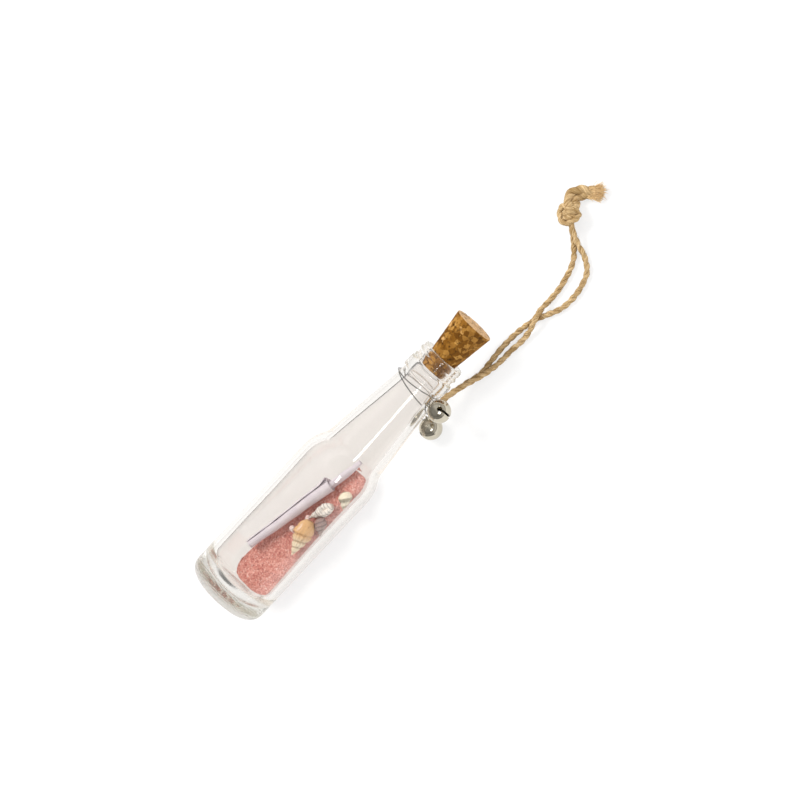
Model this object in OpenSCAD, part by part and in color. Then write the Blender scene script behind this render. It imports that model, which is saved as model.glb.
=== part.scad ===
// Message in a bottle: a small clear glass bottle lying on its side, with a
// cork, tinted sand, sea shells and a rolled paper inside, and with two jingle
// bells and a twine hanger wired to its neck.
// Millimetres. +X runs from the base to the mouth, +Z is up, Z = 0 is the table.

/* [Bottle] */
// Outer diameter of the body
body_d = 30; // [26:0.5:36]
// Length from the standing ring to the mouth
glass_l = 115; // [108:0.5:130]
// Wall of the body
wall = 2.8; // [2:0.1:3.4]
// Thickness of the bottom
bottom_t = 5; // [3.5:0.1:7]
// Radius of the heel
heel_r = 5; // [3:0.1:6]
// Radius of the corner inside the bottom
inner_corner_r = 8; // [4:0.1:9]
// Radius of the standing ring's inner edge
push_up_r = 8; // [5:0.1:9]
// Depth of the push-up in the base
push_up_h = 0.9; // [0.3:0.1:2]
// Where the shoulder starts, from the base
shoulder_x = 59; // [50:0.5:60]
// Radius of the shoulder's arc
shoulder_r = 16.5; // [15:0.5:22]
// Diameter at the foot of the neck
neck_foot_d = 23.8; // [22.6:0.1:24]
// Diameter at the top of the neck
neck_top_d = 15.9; // [14.5:0.1:17]

/* [Finish of the mouth] */
// Height of the bead under the thread
bead_h = 5.6; // [4:0.1:7]
// Diameter of the bead
bead_d = 17.8; // [17:0.1:20]
// Rounding of the bead
bead_round = 1.3; // [0.8:0.1:2]
// Diameter of the finish between the thread and the lip
finish_d = 15.8; // [15:0.1:16.4]
// Diameter of the thread
thread_d = 17.6; // [16.8:0.1:18]
// Rounding of the thread
thread_round = 0.8; // [0.5:0.05:1]
// Height of the plain finish that carries the thread
thread_h = 3.2; // [2.6:0.1:5]
// Diameter of the lip
lip_d = 16.4; // [15.8:0.1:17.4]
// Height of the lip
lip_h = 2.6; // [2:0.1:3.5]
// Rounding of the lip
lip_round = 0.8; // [0.3:0.1:1]
// Bore of the mouth
bore_d = 10.6; // [9:0.1:11.4]

/* [Cork] */
// Diameter of the cork's wide end
cork_top_d = 14.8; // [12.5:0.1:17]
// Diameter of the cork's narrow end
cork_bottom_d = 8.9; // [7.5:0.1:8.9]
// Length of the cork
cork_l = 21.6; // [16:0.1:26]
// Clearance between the cork and the mouth
cork_fit = 0.05; // [0.02:0.01:0.1]
// Broken edge at the cork's ends
cork_edge = 0.4; // [0.1:0.05:0.8]

/* [Contents] */
// Height of the sand's surface under the axis at the base end
sand_drop = 7.3; // [6:0.1:8.5]
// Clearance between the sand and the glass
sand_gap = 0.2; // [0.1:0.05:0.4]
// Radius of the rolled paper
scroll_r = 2.1; // [1.6:0.1:2.5]
// Length of the rolled paper
scroll_l = 49; // [42:0.5:52]
// Thickness of the paper
paper_t = 0.16; // [0.1:0.01:0.2]
// Turns of the rolled paper
scroll_turns = 3.25; // [2.25:0.25:3.5]
// How far the loose edge of the paper opens
scroll_flare = 0.6; // [0.2:0.1:0.9]
// Clearance between the shells and the sand
shell_gap = 0.06; // [0.04:0.01:0.3]
// Gap between the glass and the shells that lean on it
shell_wall_gap = 0.38; // [0.35:0.01:0.6]
// Length of the tan shell
tan_l = 14; // [11:0.5:15]
// Width of the tan shell
tan_w = 7.4; // [6:0.1:8]
// Length of the purple shell
purple_l = 7; // [5.5:0.1:7.6]
// Width of the purple shell
purple_w = 4.6; // [4:0.1:5]
// Length of the striped shell
striped_l = 10.4; // [8.5:0.1:11]
// Width of the striped shell
striped_w = 5; // [4.2:0.1:5.4]
// Length of the spotted shell
spotted_l = 6.6; // [5:0.1:7.2]
// Width of the spotted shell
spotted_w = 5; // [4:0.1:5.2]
// Length of the two shell chips
chip_l = 3.4; // [2.4:0.1:3.8]
// Width of the two shell chips
chip_w = 2.2; // [1.6:0.1:2.4]

/* [Wire and bells] */
// Diameter of the wire
wire_d = 0.4; // [0.3:0.05:0.45]
// Clearance between the wire and the glass
wire_gap = 0.12; // [0.08:0.01:0.2]
// Diameter of each bell
bell_d = 8.2; // [7:0.1:8.6]
// Wall of each bell
bell_wall = 0.35; // [0.25:0.05:0.5]
// Width of the bell's slot
bell_slot = 0.8; // [0.6:0.05:1]
// Diameter of the holes at the slot's ends
bell_hole_d = 1.9; // [1.4:0.1:2]
// Diameter of the pellet in the bell
pellet_d = 2.2; // [2.1:0.1:2.6]
// Clearance between the pellet and the bell
pellet_gap = 0.15; // [0.1:0.05:0.3]
// Middle radius of the loop on the bell
loop_r = 0.8; // [0.75:0.05:0.9]
// Height of the loop's centre above the bell
loop_rise = 0.6; // [0.5:0.05:0.8]
// Diameter of the heads on the loop's ends, inside the bell
loop_head_d = 0.7; // [0.6:0.05:0.8]

/* [Twine] */
// Diameter of the twine
twine_d = 2; // [1.6:0.1:2]
// Diameter of the knot
knot_d = 6.6; // [5.6:0.1:7]
// Diameter of the bulge above the knot
bulge_d = 5.2; // [4.4:0.1:5.6]

/* [Hidden] */
$fn = 96;

body_r = body_d / 2;
bore_r = bore_d / 2;
inner_r = body_r - wall;
// Places along the axis, from the base
neck_x = shoulder_x + sqrt(pow(shoulder_r, 2) - pow(neck_foot_d / 2 - body_r + shoulder_r, 2));
lip_x = glass_l - lip_h;
thread_x = lip_x - thread_h;
bead_x = thread_x - bead_h;
// Foot and top of the neck's inner cone
inner_foot_r = neck_foot_d / 2 - wall + 0.15;
inner_foot_x = shoulder_x + sqrt(pow(shoulder_r - wall, 2) - pow(inner_foot_r - body_r + shoulder_r, 2));
// Cork: how deep its taper lets it go
cork_taper = (cork_top_d - cork_bottom_d) / cork_l;
mouth_edge = 0.4;
cork_in = (bore_d - 2 * cork_fit - cork_bottom_d) / cork_taper + mouth_edge;
cork_x = glass_l - cork_in;
cork_end_x = cork_x + cork_l;

// Radius of the neck's outside and of its inside at a place along the axis
function neck_r(x) = neck_foot_d / 2 + (neck_top_d - neck_foot_d) / 2 * (x - neck_x) / (bead_x - neck_x);

function inner_neck_r(x) = inner_foot_r
    + (bore_r - inner_foot_r) * (x - inner_foot_x) / (bead_x - inner_foot_x);

// Height of the sand at a place along the axis: it runs out at the foot of the neck
sand_from_x = bottom_t + sand_gap;
sand_fall = (inner_foot_r - sand_drop) / (inner_foot_x - sand_from_x);
function sand_z(x) = -sand_drop - sand_fall * (x - sand_from_x);

// Bells: the lower one lies on the table beside the neck, the upper one stands off the neck
bell_r = bell_d / 2;
bell_reach = bell_r + loop_rise;
upper_bell_x = bead_x - 2.3;
lower_bell_x = bead_x - 10.6;
upper_bell_off = 1.2;
lower_bell_off = 0.84;
upper_bell_y = -(neck_r(upper_bell_x) + upper_bell_off + bell_r);
upper_bell = [upper_bell_x, upper_bell_y, 0.2];
lower_bell_z = bell_r - body_r;
lower_bell = [lower_bell_x,
    -sqrt(pow(neck_r(lower_bell_x) + lower_bell_off + bell_r, 2) - pow(lower_bell_z, 2)), lower_bell_z];
upper_dir = unit([-0.23, 0.85, 0.47]);
lower_dir = unit([0.444, 0.343, 0.828]);
upper_loop = upper_bell + bell_reach * upper_dir;
lower_loop = lower_bell + bell_reach * lower_dir;
// Turn of each bell's loop about the bell's own axis, and of its slot from the loop
upper_turn = 60;
lower_turn = -35;
upper_slot_turn = -48;
lower_slot_turn = 0;

// The origin is under the middle of the object without its twine, on the table
mid_x = cork_end_x / 2;
mid_y = (body_r + upper_bell[1] - bell_r) / 2;

function unit(v) = v / norm(v);
function cross3(a, b) = [a[1] * b[2] - a[2] * b[1], a[2] * b[0] - a[0] * b[2], a[0] * b[1] - a[1] * b[0]];

// Puts a point given on the table frame of the bottle, x from the base and z from the table
module on_table() {
    translate([-mid_x, -mid_y, 0]) children();
}

// Puts a shape given from the bottle's axis in its place
module on_axis() {
    translate([-mid_x, -mid_y, body_r]) children();
}

// Turns +Z of a shape to a direction
module facing(dir) {
    rotate([0, acos(dir[2] / norm(dir)), atan2(dir[1], dir[0])]) children();
}

// Bottle
// A rectangle of the profile, from one place along the axis to another
module band(r, from, to) {
    translate([0, from]) square([r, to - from]);
}

// A band with both outer corners rounded
module round_band(r, from, to, round_r) {
    band(r - round_r, from, to);
    band(r, from + round_r, to - round_r);
    for (x = [from + round_r, to - round_r]) translate([r - round_r, x]) circle(r = round_r);
}

module outer_profile() {
    band(body_r - heel_r, 0, heel_r);
    band(body_r, heel_r, shoulder_x);
    intersection() {
        translate([body_r - heel_r, heel_r]) circle(r = heel_r);
        band(body_r, 0, heel_r);
    }
    intersection() {
        translate([body_r - shoulder_r, shoulder_x]) circle(r = shoulder_r);
        band(body_r, shoulder_x, neck_x + 1);
    }
    polygon([[0, neck_x - 1], [neck_r(neck_x - 1), neck_x - 1], [neck_r(bead_x), bead_x],
        [neck_r(bead_x), bead_x + bead_round], [0, bead_x + bead_round]]);
    round_band(bead_d / 2, bead_x, bead_x + bead_h, bead_round);
    band(finish_d / 2, bead_x + bead_h - bead_round, lip_x + lip_round);
    translate([thread_d / 2 - thread_round, (thread_x + lip_x) / 2]) circle(r = thread_round);
    round_band(lip_d / 2, lip_x, glass_l, lip_round);
}

// The hollow, made smaller all round by a gap
module inner_profile(gap) {
    r = inner_r - gap;
    from = bottom_t + gap;
    corner_r = inner_corner_r - gap;
    band(r - corner_r, from, from + corner_r);
    intersection() {
        translate([r - corner_r, from + corner_r]) circle(r = corner_r);
        band(r, from, from + corner_r);
    }
    band(r, from + corner_r, shoulder_x);
    intersection() {
        translate([body_r - shoulder_r, shoulder_x]) circle(r = shoulder_r - wall - gap);
        band(r, shoulder_x, inner_foot_x + 1);
    }
}

module neck_hollow() {
    past_x = glass_l + 1;
    polygon([[0, inner_foot_x - 1], [inner_neck_r(inner_foot_x - 1), inner_foot_x - 1],
        [bore_r, bead_x], [bore_r, past_x], [0, past_x]]);
    polygon([[0, glass_l - mouth_edge], [bore_r, glass_l - mouth_edge],
        [bore_r + mouth_edge + 1, past_x], [0, past_x]]);
}

module push_up() {
    push_up_ball = (pow(push_up_r, 2) + pow(push_up_h, 2)) / (2 * push_up_h);
    intersection() {
        translate([0, push_up_h - push_up_ball]) circle(r = push_up_ball, $fn = 200);
        band(body_r, -1, push_up_h + 1);
    }
}

module bottle() {
    color([0.84, 0.9, 0.88], 0.35) on_axis() rotate([0, 90, 0]) rotate_extrude() difference() {
        outer_profile();
        inner_profile(0);
        neck_hollow();
        push_up();
    }
}

// Cork
module cork() {
    r_at = function(x) cork_bottom_d / 2 + cork_taper / 2 * x;
    color([0.72, 0.5, 0.3]) on_axis() rotate([0, 90, 0]) translate([0, 0, cork_x]) rotate_extrude()
        polygon([[0, 0], [r_at(0) - cork_edge, 0], [r_at(cork_edge), cork_edge],
            [r_at(cork_l - cork_edge), cork_l - cork_edge], [r_at(cork_l) - cork_edge, cork_l],
            [0, cork_l]]);
}

// Sand: the part of the hollow under a plane that falls from the base to the neck
module sand() {
    slope = atan(-sand_fall);
    color([0.87, 0.55, 0.5]) on_axis() intersection() {
        rotate([0, 90, 0]) rotate([0, 0, 180]) rotate_extrude() inner_profile(sand_gap);
        translate([sand_from_x, 0, sand_z(sand_from_x)]) rotate([0, -slope, 0])
            translate([-body_d, -body_d, -body_d]) cube([glass_l + body_d, 2 * body_d, body_d]);
    }
}

// Rolled paper: a spiral section with its loose edge standing open
scroll_from_x = bottom_t + 13.8;
scroll_core_r = 0.7;
// Where round the roll its loose edge lies
scroll_lay = 140;
scroll_low = [scroll_from_x, inner_r - 3.2, -4.2];
scroll_high_x = scroll_from_x + scroll_l * 0.98;
scroll_high = [scroll_high_x, -0.1, sand_z(scroll_high_x) + scroll_r + 0.1];

module scroll() {
    step = 15;
    count = round(scroll_turns * 360 / step);
    mid_r = function(i) scroll_core_r + (scroll_r - scroll_core_r - paper_t / 2) * i / count
        + scroll_flare * pow(max(0, (i - count + 6) / 6), 2);
    edge = function(i, side) (mid_r(i) + side * paper_t / 2) * [cos(i * step), sin(i * step)];
    color([0.92, 0.88, 0.9]) on_axis() translate(scroll_low) facing(scroll_high - scroll_low)
        rotate([0, 0, scroll_lay]) linear_extrude(scroll_l)
            polygon([for (i = [0:count]) edge(i, 1), for (i = [count:-1:0]) edge(i, -1)]);
}

// Shells: a coiled shell is a spindle whose seam winds round it, with ribs along it and a dented mouth
// Shape of the spindle from its tip, 0, to its canal, 1
shell_full = 0.6;
function spindle(u) = u < shell_full
    ? pow(u / shell_full, 0.85)
    : sqrt(1 - 0.93 * pow((u - shell_full) / (1 - shell_full), 2));
function seam(u, a, whorls) = let (w = whorls * pow(u, 0.7) - a / 360, f = w - floor(w))
    pow(abs(cos(180 * f)), 7) * (u < shell_full ? 1 : max(0, 1 - (u - shell_full) * 5));
function mouth(u, a) = exp(-pow((u - 0.74) / 0.17, 2) - pow((((a + 180) % 360) - 180) / 32, 2));
function shell_point(u, a, len, width, whorls, seam_d, ribs, rib_h) =
    let (r = width / 2 * spindle(u) * (1 - seam_d * seam(u, a, whorls) - 0.28 * mouth(u, a)
        + rib_h * cos(ribs * a) * sin(180 * min(1, u * 1.1))))
    [r * cos(a), r * sin(a), len * (u - 0.5)];

module coiled_shell(len, width, whorls, seam_d, ribs, rib_h, rings, sides) {
    grid = [for (i = [1:rings]) for (j = [0:sides - 1])
        shell_point(i / (rings + 0.3), j * 360 / sides, len, width, whorls, seam_d, ribs, rib_h)];
    tip = rings * sides;
    points = concat(grid, [[0, 0, -len / 2], [0, 0, len / 2]]);
    side_faces = [for (i = [0:rings - 2]) for (j = [0:sides - 1]) for (half = [0, 1])
        let (a = i * sides + j, b = i * sides + (j + 1) % sides, c = a + sides, d = b + sides)
        half == 0 ? [a, c, b] : [b, c, d]];
    tip_faces = [for (j = [0:sides - 1]) [tip, j, (j + 1) % sides]];
    last = (rings - 1) * sides;
    end_faces = [for (j = [0:sides - 1]) [tip + 1, last + (j + 1) % sides, last + j]];
    polyhedron(points, concat(side_faces, tip_faces, end_faces));
}

// Height of the middle of a shell that lies on the sand
function shell_z(x, width) = sand_z(x) + width / 2 + shell_gap;
// Place across the bottle of a shell that leans on the glass, or lies some way in from it
function from_wall(x, width, in) = in
    - sqrt(pow(inner_r - width / 2 - shell_wall_gap, 2) - pow(shell_z(x, width), 2));

module on_sand(x, y, width, dir, turn) {
    on_axis() translate([x, y, shell_z(x, width)]) facing(dir) rotate([0, 0, turn]) children();
}

module shell_tan() {
    color([0.8, 0.62, 0.38]) on_sand(34.4, from_wall(34.4, tan_w, 1.67), tan_w, [13, 3.6, 0.8], 150)
        coiled_shell(tan_l, tan_w, 6, 0.16, 14, 0.035, 24, 28);
}

module shell_purple() {
    color([0.5, 0.42, 0.44]) on_sand(41.8, from_wall(41.8, purple_w, 0), purple_w, [4, 4, 1.6], 60)
        coiled_shell(purple_l, purple_w, 3, 0.12, 12, 0.05, 14, 24);
}

module shell_striped() {
    color([0.8, 0.78, 0.74]) on_sand(45.4, from_wall(45.4, striped_w, 4.2), striped_w, [8, -3.6, 0.2], 200)
        coiled_shell(striped_l, striped_w, 4, 0.14, 9, 0.02, 18, 22);
}

module shell_spotted() {
    color([0.82, 0.78, 0.68]) on_sand(54.4, from_wall(54.4, spotted_w, 0), spotted_w, [4, 3, 0.6], 30)
        coiled_shell(spotted_l, spotted_w, 2.6, 0.16, 8, 0.03, 14, 22);
}

module shell_chip_a() {
    color([0.93, 0.82, 0.8]) on_sand(33.2, 1.4, chip_w, [1, 3, 0.5], 0)
        coiled_shell(chip_l, chip_w, 2, 0.14, 6, 0.04, 8, 12);
}

module shell_chip_b() {
    color([0.93, 0.84, 0.82]) on_sand(39.6, -0.2, chip_w, [2, 1, 0.4], 0)
        coiled_shell(chip_l, chip_w, 2, 0.14, 6, 0.04, 8, 12);
}

// Tubes: rings of a tube set square to its path, joined by a skin
function between(p, i, t) =
    let (a = p[max(0, i - 1)], b = p[i], c = p[i + 1], d = p[min(len(p) - 1, i + 2)])
    0.5 * (2 * b + (c - a) * t + (2 * a - 5 * b + 4 * c - d) * t * t + (3 * b - a - 3 * c + d) * t * t * t);
function smooth(p, cuts) = concat(
    [for (i = [0:len(p) - 2]) for (k = [0:cuts - 1]) between(p, i, k / cuts)], [p[len(p) - 1]]);
function heading(p, i) = unit(p[min(len(p) - 1, i + 1)] - p[max(0, i - 1)]);
// Carries a side vector along the path so that the rings don't twist
function carried(p, i, side) = let (h = heading(p, i)) unit(side - (side * h) * h);
function sides_of(p, side0) = [for (i = 0, s = carried(p, 0, side0); i < len(p);
    i = i + 1, s = i < len(p) ? carried(p, i, s) : s) s];

module tube(p, d, sides, side0) {
    across = sides_of(p, side0);
    rings = len(p);
    points = [for (i = [0:rings - 1]) let (up = cross3(heading(p, i), across[i])) for (j = [0:sides - 1])
        p[i] + d / 2 * (cos(j * 360 / sides) * across[i] + sin(j * 360 / sides) * up)];
    skin = [for (i = [0:rings - 2]) for (j = [0:sides - 1]) for (half = [0, 1])
        let (a = i * sides + j, b = i * sides + (j + 1) % sides, c = a + sides, e = b + sides)
        half == 0 ? [a, c, b] : [b, c, e]];
    first = [for (j = [0:sides - 1]) j];
    last = [for (j = [sides - 1:-1:0]) (rings - 1) * sides + j];
    polyhedron(points, concat([first], skin, [last]));
}

// Wire: two turns round the neck, then down through the upper bell's loop, round the twine's fold and
// through the lower bell's loop
function round_neck(x, a, r) = [x, -r * cos(a), r * sin(a)];
wire_turn_step = 15;
wire_first = 20;
wire_last = 735;
function wire_x(a) = bead_x - lookup(a, [[20, 5], [60, 3.9], [100, 2.9], [148, 2.1], [180, 1.5],
    [250, 1], [345, 0.7], [375, 0.7], [420, 1.6], [450, 2.1], [510, 2.1], [540, 2.3], [600, 2.4],
    [700, 1.8], [735, 1.3]]);
// The second turn climbs over the first where they cross
function wire_lift(a) = (wire_d + 0.06) * lookup(a, [[455, 0], [478, 1], [530, 1], [553, 0]]);
wire_winding = [for (a = [wire_first:wire_turn_step:wire_last])
    round_neck(wire_x(a), a, neck_r(wire_x(a)) + wire_gap + wire_d / 2 + wire_lift(a))];
upper_loop_a = atan2(upper_loop[2], -upper_loop[1]);
upper_loop_off = norm([upper_loop[1], upper_loop[2]]);
lower_loop_a = atan2(lower_loop[2], -lower_loop[1]);
lower_loop_off = norm([lower_loop[1], lower_loop[2]]);
// Each point of the hanger is a place along the axis, an angle and a distance from the glass
function off_neck(x, a, off) = round_neck(x, a, neck_r(x) + off);
wire_hanger = concat(
    [round_neck(upper_loop[0] + 1, upper_loop_a, upper_loop_off),
        round_neck(upper_loop[0], upper_loop_a, upper_loop_off),
        round_neck(upper_loop[0] - 1, upper_loop_a, upper_loop_off)],
    [for (q = [[-5.6, 8, 1.6], [-6.2, -3, 1.6], [-5.8, -16, 1.9], [-4.4, -29, 2.6], [-3.2, -40, 2.7],
        [-3.3, -47, 1.7], [-3.8, -51, 0.7], [-5.4, -51, 0.5]]) off_neck(bead_x + q[0], q[1], q[2])],
    [round_neck(lower_loop[0] + 1, lower_loop_a, lower_loop_off),
        round_neck(lower_loop[0], lower_loop_a, lower_loop_off),
        round_neck(lower_loop[0] - 0.9, lower_loop_a - 1, lower_loop_off - 0.1),
        round_neck(lower_loop[0] - 1.6, lower_loop_a - 4, lower_loop_off - 0.5)]);

module neck_wire() {
    color([0.7, 0.7, 0.68]) on_axis()
        tube(concat(wire_winding, smooth(wire_hanger, 2)), wire_d, 6, [1, 0, 0]);
}

// Bell: a globe with a slot under it that ends in two round holes
module bell(centre, dir, turn, slot_turn) {
    color([0.78, 0.77, 0.74]) on_axis() translate(centre) facing(dir) rotate([0, 0, turn]) difference() {
        sphere(r = bell_r);
        sphere(r = bell_r - bell_wall);
        rotate([0, 0, slot_turn]) {
            translate([-bell_d, -bell_slot / 2, -bell_d]) cube([2 * bell_d, bell_slot, bell_d]);
            rotate([0, 90, 0]) cylinder(d = bell_hole_d, h = 2 * bell_d, center = true, $fn = 32);
        }
        for (side = [-1, 1]) translate([0, side * loop_r, 0])
            cylinder(d = wire_d + 0.2, h = bell_d, $fn = 24);
    }
}

// Loop of a bell: a half ring on two legs, which pass the globe and end in small heads inside
module bell_loop(centre, dir, turn) {
    leg_from = bell_r - bell_wall - 0.55;
    color([0.75, 0.74, 0.7]) on_axis() translate(centre) facing(dir) rotate([0, 0, turn]) {
        translate([0, 0, bell_reach]) rotate([0, 90, 0]) rotate([0, 0, 90])
            rotate_extrude(angle = 180, $fn = 48) translate([loop_r, 0]) circle(d = wire_d, $fn = 24);
        for (side = [-1, 1]) translate([0, side * loop_r, leg_from]) {
            cylinder(d = wire_d, h = bell_reach - leg_from, $fn = 24);
            sphere(d = loop_head_d, $fn = 24);
        }
    }
}

// Pellet: a ball that lies at the bottom of its bell
module pellet(centre) {
    below = bell_r - bell_wall - pellet_gap - pellet_d / 2;
    color([0.35, 0.35, 0.36]) on_axis() translate(centre - [0, 0, below]) sphere(d = pellet_d, $fn = 48);
}

module bell_upper() { bell(upper_bell, upper_dir, upper_turn, upper_slot_turn); }
module bell_upper_loop() { bell_loop(upper_bell, upper_dir, upper_turn); }
module bell_upper_pellet() { pellet(upper_bell); }
module bell_lower() { bell(lower_bell, lower_dir, lower_turn, lower_slot_turn); }
module bell_lower_loop() { bell_loop(lower_bell, lower_dir, lower_turn); }
module bell_lower_pellet() { pellet(lower_bell); }

// Twine: one strand out from the knot, a fold in the wire, and the other strand back to the knot.
// Each point is x from the base, y and z from the table.
twine_route = [[177.2, 6.9, 4.3], [175.2, 3.3, 3.6], [173.4, -0.6, 2.3], [172, -5, 1.1], [169.2, -9.6, 1.1],
    [165, -11.8, 1.1], [160, -12.8, 1.1], [154.5, -12.4, 1.1], [150, -10.4, 1.1], [146, -8.3, 1.1],
    [141.5, -6.8, 1.1], [135.5, -5.9, 1.1], [129, -5.8, 1.1], [122.5, -6.4, 1.1], [117.5, -6.8, 1.4],
    [112.6, -5.9, 2.4], [108, -5.8, 4], [104, -5.6, 5.2], [101.2, -5.4, 5.5], [99.4, -5.9, 6.3],
    [98.9, -6.9, 7.6], [99.6, -7.8, 8.9], [101.2, -7.8, 9.2], [104, -6.9, 7.9], [108.2, -6.9, 6.2],
    [113, -7.6, 4.5], [118, -8.6, 3.1], [122.5, -9.1, 1.9], [127, -9.2, 1.2], [131.5, -9.2, 1.1],
    [137, -9.8, 1.2], [141.5, -9.7, 2.2], [145.5, -8.8, 3.3], [149, -7.6, 2.6], [152.5, -6.8, 1.3],
    [157.4, -6.4, 1.1], [161.6, -5.5, 1.1], [166, -4, 1.1], [169.3, -1.9, 1.1], [171.9, 1.2, 1.1],
    [174.2, 4.2, 1.3], [176.4, 7.4, 1.9]];
knot_at = [178.6, 10, 0];
bulge_at = [182.8, 13.8, 0];
tail_a_route = [[184.8, 14.4, 2.6], [187.2, 13.6, 2.2], [190, 12, 1.7], [193, 10.2, 1.5]];
tail_b_route = [[184.6, 12.2, 2.4], [186.6, 10.4, 1.8], [188.4, 8, 1.3], [190, 5.4, 1.2]];
twine_tan = [0.74, 0.62, 0.44];

module twine() {
    color(twine_tan) on_table() tube(smooth(twine_route, 2), twine_d, 8, [0, 0, 1]);
}

module twine_knot() {
    color(twine_tan) on_table() {
        translate(knot_at + [0, 0, knot_d / 2]) sphere(d = knot_d, $fn = 48);
        translate(bulge_at + [0, 0, bulge_d / 2]) sphere(d = bulge_d, $fn = 48);
    }
}

module twine_tail_a() {
    color(twine_tan) on_table() tube(smooth(tail_a_route, 3), twine_d, 8, [0, 0, 1]);
}

module twine_tail_b() {
    color(twine_tan) on_table() tube(smooth(tail_b_route, 3), twine_d, 8, [0, 0, 1]);
}

bottle();
cork();
sand();
scroll();
shell_tan();
shell_purple();
shell_striped();
shell_spotted();
shell_chip_a();
shell_chip_b();
neck_wire();
bell_upper();
bell_upper_loop();
bell_upper_pellet();
bell_lower();
bell_lower_loop();
bell_lower_pellet();
twine();
twine_knot();
twine_tail_a();
twine_tail_b();
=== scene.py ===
"""Looks of the message in a bottle: glass, cork, sand, shells, rolled paper, wire, bells and twine."""

import logging
import math
from dataclasses import dataclass, field
from enum import Enum
from typing import Callable, Sequence

import bmesh
import bpy
import numpy as np
from mathutils import Matrix, Vector, noise


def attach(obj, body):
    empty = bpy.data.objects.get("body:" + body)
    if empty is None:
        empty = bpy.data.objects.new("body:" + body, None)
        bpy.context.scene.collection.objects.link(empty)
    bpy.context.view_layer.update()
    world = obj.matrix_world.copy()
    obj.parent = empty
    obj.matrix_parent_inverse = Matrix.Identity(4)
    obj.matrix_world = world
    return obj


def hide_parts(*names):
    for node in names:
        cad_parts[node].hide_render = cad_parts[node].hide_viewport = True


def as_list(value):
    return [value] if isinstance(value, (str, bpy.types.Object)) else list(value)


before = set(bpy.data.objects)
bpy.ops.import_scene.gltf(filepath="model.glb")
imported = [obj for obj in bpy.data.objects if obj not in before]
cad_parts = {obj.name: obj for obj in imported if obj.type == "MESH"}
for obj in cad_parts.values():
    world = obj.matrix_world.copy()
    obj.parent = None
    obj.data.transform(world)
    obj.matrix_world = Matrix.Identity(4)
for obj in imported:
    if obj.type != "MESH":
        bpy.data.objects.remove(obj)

log = logging.getLogger("message_in_a_bottle")
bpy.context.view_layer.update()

MM = 0.001
Colour = tuple[float, float, float]
Points = np.ndarray
BLACK: Colour = (0.0, 0.0, 0.0)
WHITE: Colour = (1.0, 1.0, 1.0)


class Body(Enum):
    """The bodies of the frame that pieces ride on."""

    BOTTLE = "bottle_body"
    CORK = "cork_body"
    UPPER_BELL = "upper_bell_body"
    LOWER_BELL = "lower_bell_body"


class Slot(Enum):
    """The record's material slots."""

    GLASS = "glass"
    CORK = "cork"
    SAND = "sand"
    PAPER = "paper"
    SHELL_TAN = "shell_tan"
    SHELL_PURPLE = "shell_purple"
    SHELL_PALE = "shell_pale"
    WIRE = "wire"
    BELL = "bell"
    PELLET = "pellet"
    TWINE = "twine"


@dataclass(frozen=True)
class Place:
    """Where the bottle's axis lies in the shared frame, in millimetres."""

    mid_x: float = 65.171
    mid_y: float = -1.3048
    axis_z: float = 15.0

    def from_axis(self, points: Sequence) -> Points:
        """Moves points into the frame: x is given from the base, y and z from the bottle's axis."""
        return np.asarray(points, float) + (-self.mid_x, -self.mid_y, self.axis_z)

    def from_table(self, points: Sequence) -> Points:
        """Moves points into the frame: x is given from the base, y from the axis, z from the table."""
        return np.asarray(points, float) + (-self.mid_x, -self.mid_y, 0.0)


PLACE = Place()


# Mesh tools


def grid_quads(rows: int, cols: int, round_cols: bool = True, flip: bool = False) -> Points:
    """Gives the quads of a grid of points.

    Args:
        rows: number of rows of points.
        cols: number of points in a row.
        round_cols: whether each row closes on itself.
        flip: whether the quads face the other way.

    Returns:
        An array of four indices a quad.
    """
    last = cols if round_cols else cols - 1
    i, j = np.meshgrid(np.arange(rows - 1), np.arange(last), indexing="ij")
    k = (j + 1) % cols
    quads = np.stack([i * cols + j, i * cols + k, (i + 1) * cols + k, (i + 1) * cols + j], -1).reshape(-1, 4)
    return quads[:, ::-1] if flip else quads


def fan(ring: Sequence[int], middle: int, flip: bool = False) -> list[tuple[int, int, int]]:
    """Closes a ring of points with triangles round a middle point, which flip turns the other way."""
    around = [(ring[j], ring[(j + 1) % len(ring)], middle) for j in range(len(ring))]
    return [(b, a, m) for a, b, m in around] if flip else around


def closed_rings(rows: int, cols: int, flip: bool = False) -> list[tuple[int, ...]]:
    """Gives the faces of rings of points that are closed by two tips, whose points come after the rings.

    Args:
        rows: number of rings.
        cols: number of points in a ring.
        flip: whether the faces face the other way.

    Returns:
        The quads and the triangles.
    """
    n = rows * cols
    faces = grid_quads(rows, cols, flip=flip).tolist()
    return faces + fan(range(cols), n, not flip) + fan(range(n - cols, n), n + 1, flip)


def round_axis(x: Points, r: Points, angle: Points) -> Points:
    """Places points round the bottle's axis: an angle of 0 is at the bells' side, a quarter turn on top."""
    return np.stack([x, -r * np.cos(angle), r * np.sin(angle)], -1).reshape(-1, 3)


def with_tips(values: Points, first: float = 0.0, last: float = 0.0) -> Points:
    """Adds the values of the two tips to those of the points on the rings."""
    return np.append(np.asarray(values, float).ravel(), (first, last))


def frames_along(path: Points, first_side: Sequence = (0, 0, 1)) -> tuple[Points, Points, Points]:
    """Carries a side vector along a path without twist.

    Args:
        path: the points of the path.
        first_side: the side vector to start from.

    Returns:
        The headings, the side vectors and the vectors square to both.
    """
    heading = np.gradient(path, axis=0)
    heading /= np.linalg.norm(heading, axis=1)[:, None]
    sides = np.empty_like(path)
    side = np.asarray(first_side, float)
    for i, h in enumerate(heading):
        side = side - (side @ h) * h
        side = side / np.linalg.norm(side)
        sides[i] = side
    return heading, sides, np.cross(heading, sides)


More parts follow.
